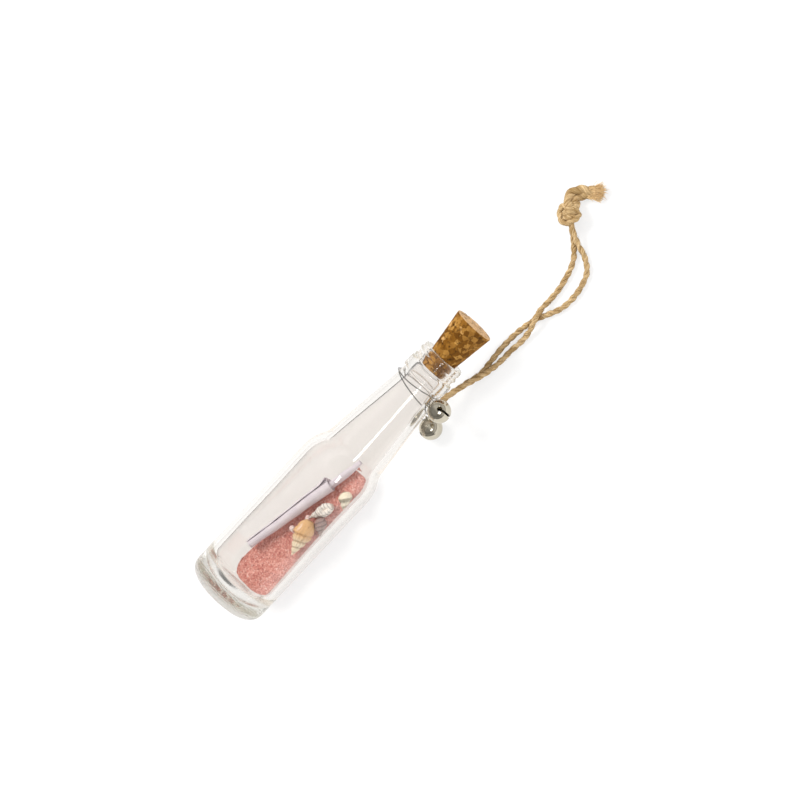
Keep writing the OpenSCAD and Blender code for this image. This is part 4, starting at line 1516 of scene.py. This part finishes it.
@dataclass
class Bells:
    """The wire round the neck and the two bells on it. Millimetres, from the base and the axis."""

    bottle: Bottle
    wire_d: float = 0.4
    wire_gap: float = 0.12
    bell_r: float = 4.1
    wall: float = 0.35
    slot: float = 0.8
    hole_d: float = 1.9
    pellet_d: float = 2.2
    pellet_gap: float = 0.15
    loop_r: float = 0.8
    loop_rise: float = 0.6
    head_d: float = 0.7
    upper_dir: tuple[float, float, float] = (-0.23, 0.85, 0.47)
    lower_dir: tuple[float, float, float] = (0.444, 0.343, 0.828)
    upper_turn: float = 60.0
    lower_turn: float = -35.0
    upper_slot_turn: float = -48.0
    lower_slot_turn: float = 0.0
    # How far behind the bead the wire lies at a number of degrees round the neck, and where it is lifted
    # over its first turn. Then its way to the lower loop: place from the bead, degrees, height off the neck.
    wire_back: tuple = (
        (20, 5), (60, 3.9), (100, 2.9), (148, 2.1), (180, 1.5), (250, 1), (345, 0.7), (375, 0.7), (420, 1.6),
        (450, 2.1), (510, 2.1), (540, 2.3), (600, 2.4), (700, 1.8), (735, 1.3))
    wire_lift: tuple = ((455, 0), (478, 1), (530, 1), (553, 0))
    wire_drop: tuple = ((-5.6, 8, 1.6), (-6.2, -3, 1.6), (-5.8, -16, 1.9), (-4.4, -29, 2.6), (-3.2, -40, 2.7),
                        (-3.3, -47, 1.7), (-3.8, -51, 0.7), (-5.4, -51, 0.5))
    points_around: int = 240
    rows: int = 44
    seam_h: float = 0.05

    def __post_init__(self) -> None:
        """Works out where the bells and their loops are."""
        b = self.bottle
        reach = self.bell_r + self.loop_rise
        x = b.bead_x - 2.3
        self.upper = np.array([x, -(b.neck_r(x) + 1.2 + self.bell_r), 0.2])
        x, z = b.bead_x - 10.6, self.bell_r - b.radius
        self.lower = np.array([x, -math.sqrt((b.neck_r(x) + 0.84 + self.bell_r) ** 2 - z * z), z])
        self.upper_loop = self.upper + reach * np.array(Vector(self.upper_dir).normalized())
        self.lower_loop = self.lower + reach * np.array(Vector(self.lower_dir).normalized())

    @staticmethod
    def round_neck(x: float, a: float, r: float) -> tuple[float, float, float]:
        """A point at an angle round the axis, 0 at the bells' side and 90 on top."""
        return (x, -r * math.cos(math.radians(a)), r * math.sin(math.radians(a)))

    def wire_path(self) -> Points:
        """Draws the wire: two turns round the neck, then down through both loops.

        Returns:
            The points of its middle line.
        """
        b = self.bottle
        winding = []
        for a in np.arange(self.wire_back[0][0], self.wire_back[-1][0] + 0.1, 15):
            x = b.bead_x - float(np.interp(a, *zip(*self.wire_back)))
            over = (self.wire_d + 0.06) * float(np.interp(a, *zip(*self.wire_lift)))
            winding.append(self.round_neck(x, a, b.neck_r(x) + self.wire_gap + self.wire_d / 2 + over))
        loops = []
        for loop in (self.upper_loop, self.lower_loop):
            loops.append((loop[0], math.degrees(math.atan2(loop[2], -loop[1])), math.hypot(loop[1], loop[2])))
        (ux, ua, ur), (lx, la, lr) = loops
        hanger = [self.round_neck(ux + d, ua, ur) for d in (1, 0, -1)]
        for d, a, off in self.wire_drop:
            hanger.append(self.round_neck(b.bead_x + d, a, b.neck_r(b.bead_x + d) + off))
        hanger += [self.round_neck(lx + 1, la, lr), self.round_neck(lx, la, lr)]
        hanger += [self.round_neck(lx - 0.9, la - 1, lr - 0.1), self.round_neck(lx - 1.6, la - 4, lr - 0.5)]
        return np.vstack([smooth_path(winding, 0.5), smooth_path(hanger, 0.3)])

    def build(self, bell: MetalLook, wire: MetalLook, pellet: MetalLook, effects: SharedEffects) -> None:
        """Makes the wire and both bells.

        Args:
            bell: finish of the bells and their loops.
            wire: finish of the wire.
            pellet: finish of the balls inside.
            effects: the shared node groups.
        """
        wire_look, bell_look = wire.material(effects), bell.material(effects)
        ball_look = pellet.material(effects)
        path = PLACE.from_axis(self.wire_path())
        draft = MeshDraft()
        add_tube(draft, path, self.wire_d / 2, 12, (1, 0, 0))
        draft.build("neck_wire_round", Body.BOTTLE, Slot.WIRE, wire_look, ["neck_wire"])
        sets = [("upper", self.upper, self.upper_dir, self.upper_turn, self.upper_slot_turn, Body.UPPER_BELL),
                ("lower", self.lower, self.lower_dir, self.lower_turn, self.lower_slot_turn, Body.LOWER_BELL)]
        for side, centre, direction, turn, slot_turn, body in sets:
            node = f"bell_{side}"
            globe = self._globe(centre, turn_to(direction, turn + slot_turn))
            globe.build(node + "_globe", body, Slot.BELL, bell_look, [node], tidy=True)
            ring = self._loop(centre, turn_to(direction, turn))
            ring.build(node + "_ring", body, Slot.BELL, bell_look, [node + "_loop"])
            self._ball(centre).build(node + "_ball", body, Slot.PELLET, ball_look, [node + "_pellet"])

    def _slot_edge(self, angle: float) -> float:
        """Half width of the gap between the bell's two cheeks at an angle from its top.

        Args:
            angle: degrees from the loop, 180 at the bottom.

        Returns:
            Half the gap, 0 where the cheeks are one.
        """
        from_hole = abs(abs(angle) - 90) * math.pi / 180 * self.bell_r
        hole = math.sqrt(max(0.0, (self.hole_d / 2) ** 2 - from_hole**2))
        return max(hole, self.slot / 2 if abs(angle) > 90 else 0.0)

    def _globe(self, centre: Points, rotation: Points) -> MeshDraft:
        """Draws a bell's globe: two cheeks, with a slot and round holes between them.

        Args:
            centre: the bell's centre.
            rotation: how it is turned.

        Returns:
            Its mesh.
        """
        around, rows = self.points_around, self.rows
        angles = np.linspace(-180, 180, around, endpoint=False)
        edges = [self._slot_edge(float(angle)) for angle in angles]
        draft = MeshDraft()
        for cheek in (1, -1):
            for r, lift in ((self.bell_r, 0.0), (self.bell_r - self.wall, 0.02)):
                outer = r == self.bell_r
                grid = np.empty((rows, around, 3))
                for j, angle in enumerate(angles):
                    a = math.radians(angle)
                    start = math.asin(min(1.0, (edges[j] + lift * (edges[j] > 0)) / r))
                    for i, lat in enumerate(np.linspace(start, math.pi / 2, rows)):
                        flat = r * math.cos(lat)
                        grid[i, j] = (flat * math.sin(a), cheek * r * math.sin(lat), flat * math.cos(a))
                band = self.seam_h * np.exp(-((grid[..., 2] + 0.15) / 0.28) ** 2)
                grid *= (1 + (band / r if outer else 0 * band))[..., None]
                draft.add(self._put(grid.reshape(-1, 3), rotation, centre),
                          grid_quads(rows, around, flip=(cheek == 1) != outer).tolist())
        n = rows * around
        for cheek in (0, 1):
            outer0, inner0 = 2 * cheek * n, (2 * cheek + 1) * n
            for j in range(around):
                k = (j + 1) % around
                if edges[j] > 0 or edges[k] > 0:
                    quad = (outer0 + j, outer0 + k, inner0 + k, inner0 + j)
                    draft.faces.append(quad if cheek else quad[::-1])
        return draft

    def _loop(self, centre: Points, rotation: Points) -> MeshDraft:
        """Draws the wire loop on a bell, with the heads of its legs inside.

        Args:
            centre: the bell's centre.
            rotation: how the bell is turned.

        Returns:
            Its mesh.
        """
        top = self.bell_r + self.loop_rise
        foot = self.bell_r - self.wall - 0.55
        line = [(0, -self.loop_r, z) for z in np.linspace(foot, top, 9)]
        line += [(0, -self.loop_r * math.cos(a), top + self.loop_r * math.sin(a))
                 for a in np.linspace(0, math.pi, 19)[1:-1]]
        line += [(0, self.loop_r, z) for z in np.linspace(top, foot, 9)]
        draft = MeshDraft()
        add_tube(draft, self._put(np.array(line), rotation, centre), self.wire_d / 2, 16, (1, 0, 0.1))
        for side in (-1, 1):
            points, faces = ball(self.head_d / 2, 16, 20)
            draft.add(self._put(points + (0, side * self.loop_r, foot), rotation, centre), faces)
        return draft

    def _ball(self, centre: Points) -> MeshDraft:
        """Draws the ball inside a bell, a little dented.

        Args:
            centre: the bell's centre.

        Returns:
            Its mesh.
        """
        points, faces = ball(self.pellet_d / 2, 24, 32)
        drop = self.bell_r - self.wall - self.pellet_gap - self.pellet_d / 2
        dents = 1 - 0.02 * np.abs(wobble(points, 0.7, 6.0))
        draft = MeshDraft()
        draft.add(PLACE.from_axis(points * dents[:, None] + centre - (0, 0, drop)), faces)
        return draft

    @staticmethod
    def _put(points: Points, rotation: Points, centre: Points) -> Points:
        """Turns points and moves them to a bell's centre in the frame."""
        return PLACE.from_axis(points @ rotation.T + centre)


def ball(r: float, rows: int, cols: int) -> tuple[Points, list]:
    """Makes a globe.

    Args:
        r: its radius.
        rows: rings between its poles.
        cols: points in a ring.

    Returns:
        Its points and faces.
    """
    lat = np.linspace(0, math.pi, rows + 2)[1:-1]
    a = np.arange(cols) / cols * 2 * math.pi
    points = [(r * math.sin(t) * math.cos(p), r * math.sin(t) * math.sin(p), r * math.cos(t))
              for t in lat for p in a]
    return np.array(points + [(0, 0, r), (0, 0, -r)]), closed_rings(rows, cols, True)


def add_tube(draft: MeshDraft, path: Points, radius: float | Points, sides: int, first_side: Sequence,
             **values: Points) -> None:
    """Adds a tube along a path, closed at both ends.

    Args:
        draft: the mesh that it goes into.
        path: its middle line.
        radius: its radius, or one for each point of the path.
        sides: points round it.
        first_side: a side vector to start from.
        values: values for its points.
    """
    _, side, up = frames_along(path, first_side)
    a = np.arange(sides) / sides * 2 * math.pi
    r = np.broadcast_to(np.asarray(radius, float), len(path))[:, None, None]
    out = np.cos(a)[None, :, None] * side[:, None] + np.sin(a)[None, :, None] * up[:, None]
    rings = path[:, None] + r * out
    draft.add(np.vstack([rings.reshape(-1, 3), path[:1], path[-1:]]), closed_rings(len(path), sides),
              **{name: with_tips(value) for name, value in values.items()})


# The hanger of twine


@dataclass
class Strand:
    """A length of two-ply twine along a path. Millimetres."""

    path: Points
    diameter: float = 2.0
    pitch: float = 6.4
    sides: int = 14
    phase: float = 0.0
    ply_offset: float = 0.17
    ply_r: float = 0.35

    def add_to(self, draft: MeshDraft, seed: float) -> None:
        """Adds both plies to a mesh.

        Args:
            draft: the mesh.
            seed: makes its unevenness its own.
        """
        _, side, up = frames_along(self.path)
        gone = np.concatenate([[0], np.cumsum(np.linalg.norm(np.diff(self.path, axis=0), axis=1))])
        uneven = 1 + 0.09 * wobble(self.path, 2.2, seed)
        shape = (len(self.path), self.sides)
        a = np.arange(self.sides) / self.sides * 2 * math.pi
        # Painted shade on the side of each ply that faces the other, in the crevice between them.
        valley = np.broadcast_to(np.clip(-np.cos(a) * 1.3, 0, 1) ** 2, shape)
        around = np.broadcast_to(np.minimum(a, 2 * math.pi - a) / math.pi * 1.3, shape)
        for ply in (0, 1):
            turn = (gone / self.pitch + self.phase + 0.5 * ply) * 2 * math.pi
            turn = turn + 0.25 * wobble(self.path, 7.0, seed + 3)
            out = np.cos(turn)[:, None] * side + np.sin(turn)[:, None] * up
            middle = self.path + out * (self.ply_offset * self.diameter * uneven)[:, None]
            cross = np.cross(frames_along(middle)[0], out)
            r = self.ply_r * self.diameter * uneven * (1 + 0.05 * wobble(self.path, 1.3, seed + ply))
            dirs = np.cos(a)[None, :, None] * out[:, None] + np.sin(a)[None, :, None] * cross[:, None]
            strands = 1 + 0.05 * np.cos(5 * a[None, :] + gone[:, None] * 1.1)
            rings = middle[:, None] + r[:, None, None] * strands[..., None] * dirs
            along = np.repeat(gone + ply * 50 + seed * 13, self.sides)
            draft.add(np.vstack([rings.reshape(-1, 3), middle[:1], middle[-1:]]), closed_rings(*shape),
                      valley=with_tips(valley), along=with_tips(along), around=with_tips(around),
                      frayed=with_tips(np.zeros(shape)))


@dataclass
class Hanger:
    """The loop of twine, folded in the wire and knotted at its far end. Millimetres."""

    diameter: float = 2.0
    seed: int = 23
    fold: int = 20
    route: tuple = (
        (177.2, 6.9, 4.3), (175.2, 3.3, 3.6), (173.4, -0.6, 2.3), (172, -5, 1.1), (169.2, -9.6, 1.1),
        (165, -11.8, 1.1), (160, -12.8, 1.1), (154.5, -12.4, 1.1), (150, -10.4, 1.1), (146, -8.3, 1.1),
        (141.5, -6.8, 1.1), (135.5, -5.9, 1.1), (129, -5.8, 1.1), (122.5, -6.4, 1.1), (117.5, -6.8, 1.4),
        (112.6, -5.9, 2.4), (108, -5.8, 4), (104, -5.6, 5.2), (101.2, -5.4, 5.5), (99.4, -5.9, 6.3),
        (98.9, -6.9, 7.6), (99.6, -7.8, 8.9), (101.2, -7.8, 9.2), (104, -6.9, 7.9), (108.2, -6.9, 6.2),
        (113, -7.6, 4.5), (118, -8.6, 3.1), (122.5, -9.1, 1.9), (127, -9.2, 1.2), (131.5, -9.2, 1.1),
        (137, -9.8, 1.2), (141.5, -9.7, 2.2), (145.5, -8.8, 3.3), (149, -7.6, 2.6), (152.5, -6.8, 1.3),
        (157.4, -6.4, 1.1), (161.6, -5.5, 1.1), (166, -4, 1.1), (169.3, -1.9, 1.1), (171.9, 1.2, 1.1),
        (174.2, 4.2, 1.3), (176.4, 7.4, 1.9))
    knot_at: tuple = (178.6, 10.0, 3.3)
    tail_a: tuple = (
        (180.0, 10.6, 4.2), (180.9, 12.6, 4.0), (182.2, 14.3, 3.9), (184.2, 14.8, 3.8), (186.2, 14.1, 3.7),
        (188.0, 12.4, 3.3), (189.2, 10.7, 2.8), (190.2, 9.7, 2.4))
    tail_b: tuple = (
        (180.9, 10.0, 3.2), (182.3, 11.5, 2.5), (184.1, 12.9, 2.1), (186.0, 12.3, 2.0), (187.6, 10.7, 1.8),
        (189.2, 9.3, 1.7))
    tail_d: float = 3.4
    knot_d: float = 2.15
    knot_core_r: float = 2.5
    brush_hairs: int = 420
    fibres: int = 520
    knot_turns: tuple = (
        ((178.7, 10.0, 3.0), (179.6, 11.6, 4.2), (178.8, 13.3, 4.4), (177.1, 13.1, 4.0), (175.7, 11.3, 4.0),
         (175.2, 9.0, 4.4), (176.3, 6.8, 5.0), (178.4, 5.5, 5.6), (180.2, 5.8, 4.6), (181.1, 7.3, 3.8),
         (181.2, 8.7, 4.8), (180.2, 9.6, 5.8), (178.7, 10.8, 5.2), (177.5, 11.1, 3.6)),
        ((180.1, 8.1, 3.4), (180.9, 7.4, 4.4), (179.9, 8.0, 6.2), (178.1, 9.7, 5.4), (177.3, 10.1, 3.8)),
        ((179.2, 7.1, 3.6), (179.7, 6.8, 4.6), (178.5, 7.5, 5.6), (176.8, 9.0, 4.8), (176.8, 9.8, 3.4)))

    def strands(self) -> tuple[Points, Points]:
        """Draws the two strands, both from the fold in the wire to the knot.

        Returns:
            The middle lines of the strands, in the frame.
        """
        line = smooth_path(PLACE.from_table(self.route), 0.28)
        turn = PLACE.from_table([self.route[self.fold]])[0]
        cut = int(np.argmin(np.linalg.norm(line - turn, axis=1)))
        return line[:cut + 1][::-1], line[cut:]

    def build(self, look: JuteLook, effects: SharedEffects) -> None:
        """Args:
            look: their finish.
            effects: the shared node groups.
        """
        material = look.material(effects)
        first, second = self.strands()
        made = []
        for name, path, phase in (("twine_strand_a", first, 0.0), ("twine_strand_b", second, 0.25)):
            draft = MeshDraft()
            Strand(path, self.diameter, phase=phase).add_to(draft, phase * 4 + 1)
            made.append(draft.build(name, Body.BOTTLE, Slot.TWINE, material, ["twine"]))
        knot = self._knot(material)
        tails = self._tails(material)
        fibres = self._fibres([first, second], material)
        for strand, path, extra in ((made[0], first, [knot, *tails]), (made[1], second, [fibres])):
            points = path[::6] * MM
            tuple(points[0])
            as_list(extra)

    def _knot(self, material: bpy.types.Material) -> bpy.types.Object:
        """Makes the overhand knot that both strands are tied in together.

        Args:
            material: its material.

        Returns:
            The object.
        """
        centre = PLACE.from_table([self.knot_at])[0]
        draft = MeshDraft()
        for k, route in enumerate(self.knot_turns):
            path = smooth_path(PLACE.from_table(route), 0.2)
            Strand(path, self.knot_d, pitch=5.8, phase=0.3 * k).add_to(draft, 5 + k)
        # A ball fills the middle of the knot and is painted wholly in shade.
        points, faces = ball(self.knot_core_r, 20, 28)
        draft.add(points * (1, 1, 0.95) + centre, faces, valley=1.0, along=0.0, around=0.0, frayed=0.0)
        return draft.build("twine_overhand_knot", Body.BOTTLE, Slot.TWINE, material, ["twine_knot"])

    def _tails(self, material: bpy.types.Material) -> list[bpy.types.Object]:
        """Makes the two ends past the knot, each fraying out into a brush.

        Args:
            material: their material.

        Returns:
            The objects.
        """
        chance = np.random.default_rng(self.seed)
        made = []
        for name, route, node, spread in (("twine_end_a", self.tail_a, "twine_tail_a", (0.62, -0.28, 0.0)),
                                          ("twine_end_b", self.tail_b, "twine_tail_b", (0.1, -0.85, 0.0))):
            path = smooth_path(PLACE.from_table(route), 0.2)
            draft = MeshDraft()
            Strand(path, self.tail_d, pitch=8.4, phase=0.1).add_to(draft, 8 + len(made))
            end = path[-4]
            ahead = path[-1] - path[-6]
            ahead /= np.linalg.norm(ahead)
            for _ in range(self.brush_hairs):
                to = ahead + np.array(spread) * chance.uniform(-0.2, 1.0)
                to = to + chance.normal(0, 0.24, 3) * (1, 1, 0.5)
                to /= np.linalg.norm(to)
                root = end - ahead * chance.uniform(0, 1.4) + chance.normal(0, 0.5, 3)
                long = chance.uniform(2.6, 5.0)
                bend = chance.normal(0, 0.35, 3)
                t = np.linspace(0, 1, 7)[:, None]
                hair = root + to * long * t + bend * t**2
                # Marks these fibres for the paler tone, partly their own and partly painted light.
                self._hair(draft, hair, 0.12, (0.12, 0.06), 4, (0.1, 0.3, 1), chance.uniform(0, 1.3),
                           frayed=np.ones(28))
            made.append(draft.build(name, Body.BOTTLE, Slot.TWINE, material, [node]))
        return made

    def _fibres(self, paths: list[Points], material: bpy.types.Material) -> bpy.types.Object:
        """Makes the loose fibres that stand out from the strands.

        Args:
            paths: the middle lines of the strands.
            material: their material.

        Returns:
            The object.
        """
        chance = np.random.default_rng(self.seed + 1)
        draft = MeshDraft()
        for path in paths:
            heading, side, up = frames_along(path)
            for _ in range(self.fibres):
                i = int(chance.integers(4, len(path) - 4))
                a = chance.uniform(0, 2 * math.pi)
                out = math.cos(a) * side[i] + math.sin(a) * up[i]
                lean = heading[i] * chance.choice((-1, 1)) * chance.uniform(0.6, 2.0)
                long = chance.uniform(0.5, 1.6)
                t = np.linspace(0, 1, 6)[:, None]
                hair = path[i] + out * (0.85 + 0.2 * long * t) + lean * long * t * 0.6
                hair = hair + chance.normal(0, 0.2, 3) * t**2
                self._hair(draft, hair, 0.06, (0.05, 0.025), 3, (0.2, 0.3, 1), chance.uniform(0, 1.3))
        return draft.build("twine_fibres", Body.BOTTLE, Slot.TWINE, material)

    @staticmethod
    def _hair(draft: MeshDraft, hair: Points, lowest: float, radii: tuple[float, float], sides: int,
              first_side: Sequence, around: float, **values: Points) -> None:
        """Adds one fibre of the twine, kept above the table.

        Args:
            draft: the mesh that it goes into.
            hair: its middle line.
            lowest: the least height of that line over the table.
            radii: its radius at the root and at the tip.
            sides: points round it.
            first_side: a side vector to start from.
            around: which streak of the jute it takes its tone from.
            values: more values for its points.
        """
        hair[:, 2] = np.maximum(hair[:, 2], lowest)
        n = len(hair) * sides
        add_tube(draft, hair, np.linspace(*radii, len(hair)), sides, first_side, valley=np.zeros(n),
                 along=np.repeat(np.linspace(0, 2, len(hair)), sides), around=np.full(n, around), **values)


# The studio


@dataclass(frozen=True)
class Camera:
    """The viewpoint: metres, in the shared frame."""

    spot: tuple[float, float, float] = (0.20208, -0.51967, 0.85073)
    right: tuple[float, float, float] = (0.6729, -0.5563, -0.4875)
    up: tuple[float, float, float] = (0.7191, 0.6466, 0.2546)
    lens: float = 131.2
    sensor: float = 36.0
    clip: tuple[float, float] = (0.01, 10.0)

    def build(self) -> None:
        """Makes the camera and sets it."""
        data = bpy.data.cameras.new("camera")
        data.lens, data.sensor_width = self.lens, self.sensor
        data.clip_start, data.clip_end = self.clip
        camera = bpy.data.objects.new("camera", data)
        bpy.context.scene.collection.objects.link(camera)
        right, up = Vector(self.right).normalized(), Vector(self.up).normalized()
        back = right.cross(up)
        turned = Matrix((right, up, back)).transposed().to_4x4()
        camera.matrix_world = Matrix.Translation(self.spot) @ turned
        bpy.context.scene.camera = camera


@dataclass(frozen=True)
class Softbox:
    """An area light. Metres, with its power in watts."""

    name: str
    spot: tuple[float, float, float]
    size: tuple[float, float]
    power: float
    mirrored: bool = False
    target: tuple[float, float, float] = (0.02, 0.0, 0.01)

    def build(self) -> None:
        """Makes the light, aimed at the object."""
        data = bpy.data.lights.new(self.name, "AREA")
        data.shape, data.size, data.size_y, data.energy = "RECTANGLE", *self.size, self.power
        light = bpy.data.objects.new(self.name, data)
        light.location = self.spot
        aim = Vector(self.target) - Vector(self.spot)
        light.rotation_euler = aim.to_track_quat("-Z", "Y").to_euler()
        light.visible_camera = False
        light.visible_glossy = self.mirrored
        light.visible_transmission = self.mirrored
        bpy.context.scene.collection.objects.link(light)


@dataclass(frozen=True)
class Studio:
    """The pale floor, the soft light and the white background. Metres."""

    half_width: float = 0.7
    drop: float = 0.00015
    glow: float = 0.7
    sky_strength: float = 0.75
    floor_tones: tuple[Colour, Colour] = ((0.9, 0.9, 0.9), (0.92, 0.92, 0.92))
    lamps: tuple[Softbox, ...] = (
        Softbox("key", (-0.1, 0.5, 0.7), (0.4, 0.4), 6.5),
        Softbox("fill", (0.6, -0.5, 0.55), (0.5, 0.3), 2.2),
        Softbox("strip", (0.1, -0.75, 0.7), (0.35, 0.12), 1.4, True))

    def floor(self) -> None:
        """Makes the floor, white to the eye and still shaded by the object."""
        material, sheet, shader = new_material("White floor")
        grain = sheet.noise(sheet.place(), 40.0, 2.0)
        shade = sheet.ramp(grain, [(0.0, self.floor_tones[0]), (1.0, self.floor_tones[1])])
        sheet.fill(shader, Base_Color=shade, Roughness=0.9, Specular_IOR_Level=0.0)
        path = sheet.add("ShaderNodeLightPath")
        through = sheet.math("MAXIMUM", path.outputs["Is Glossy Ray"], path.outputs["Is Transmission Ray"])
        seen = sheet.math("MAXIMUM", path.outputs["Is Camera Ray"], through)
        white = sheet.fill(sheet.add("ShaderNodeEmission"), Strength=1.0)
        sheet.show_either(sheet.math("MULTIPLY", seen, self.glow), shader, white)
        mesh = bpy.data.meshes.new("floor")
        w = self.half_width
        mesh.from_pydata([(-w, -w, 0), (w, -w, 0), (w, w, 0), (-w, w, 0)], [], [(0, 1, 2, 3)])
        plane = bpy.data.objects.new("floor", mesh)
        plane.location.z = -self.drop
        plane.data.materials.append(material)
        bpy.context.scene.collection.objects.link(plane)

    def sky(self) -> None:
        """Makes the white surroundings, with a greyer lower band that glass and metal mirror."""
        world = bpy.data.worlds.new("studio")
        bpy.context.scene.world = world
        world.use_nodes = True
        sheet = NodeSheet(world.node_tree)
        world.node_tree.nodes.clear()
        sheet.add("ShaderNodeOutputWorld")
        split = sheet.add("ShaderNodeSeparateXYZ")
        sheet.feed(sheet.add("ShaderNodeTexCoord").outputs["Generated"], split.inputs[0])
        lift = sheet.span(split.outputs["Z"], -0.1, 0.7)
        shade = sheet.ramp(lift, [(0.0, (0.3, 0.295, 0.285)), (0.14, (0.42, 0.415, 0.4)),
                                  (0.4, (0.8, 0.79, 0.78)), (1.0, WHITE)], True)
        mirrored = sheet.ramp(lift, [(0.0, (0.22, 0.215, 0.205)), (0.14, (0.4, 0.395, 0.38)),
                                     (0.35, (0.95, 0.94, 0.93)), (0.7, (0.6, 0.59, 0.58)),
                                     (1.0, (0.95, 0.94, 0.93))], True)
        side = sheet.span(split.outputs["X"], -0.25, 0.15, 0.45, 1.0)
        mirrored = sheet.mix(1.0, mirrored, side, "MULTIPLY")
        path = sheet.add("ShaderNodeLightPath")
        around = sheet.fill(sheet.add("ShaderNodeBackground"), Strength=self.sky_strength,
                            Color=sheet.mix(path.outputs["Is Glossy Ray"], shade, mirrored))
        seen = sheet.fill(sheet.add("ShaderNodeBackground"), Color=WHITE, Strength=1.0)
        sheet.show_either(path.outputs["Is Camera Ray"], around, seen)

    def build(self) -> None:
        """Makes the floor, the surroundings and the lamps."""
        self.floor()
        self.sky()
        for box in self.lamps:
            box.build()
        bpy.context.scene.view_settings.view_transform = "Standard"


def main() -> None:
    """Builds the whole scene around the frame."""
    logging.basicConfig(level=logging.INFO, format="%(message)s")
    Camera().build()
    effects = SharedEffects()
    Hanger().build(JuteLook(), effects)
    bottle = Bottle()
    bottle.build(GlassLook(), effects)
    Cork().build(CorkLook(), effects)
    Contents(bottle).build(effects)
    Bells(bottle).build(MetalLook("Bright nickel", (0.62, 0.57, 0.46), clean=0.08, worn=0.2),
                        # The wire's colour is darker than bare steel wire: painted shade in place of the dark
                        # surroundings that real wire mirrors.
                        MetalLook("Bright wire", (0.36, 0.35, 0.33), clean=0.2, worn=0.32),
                        MetalLook("Steel ball", (0.34, 0.34, 0.34), clean=0.25, worn=0.4), effects)
    Studio().build()


if __name__ == "__main__":
    main()
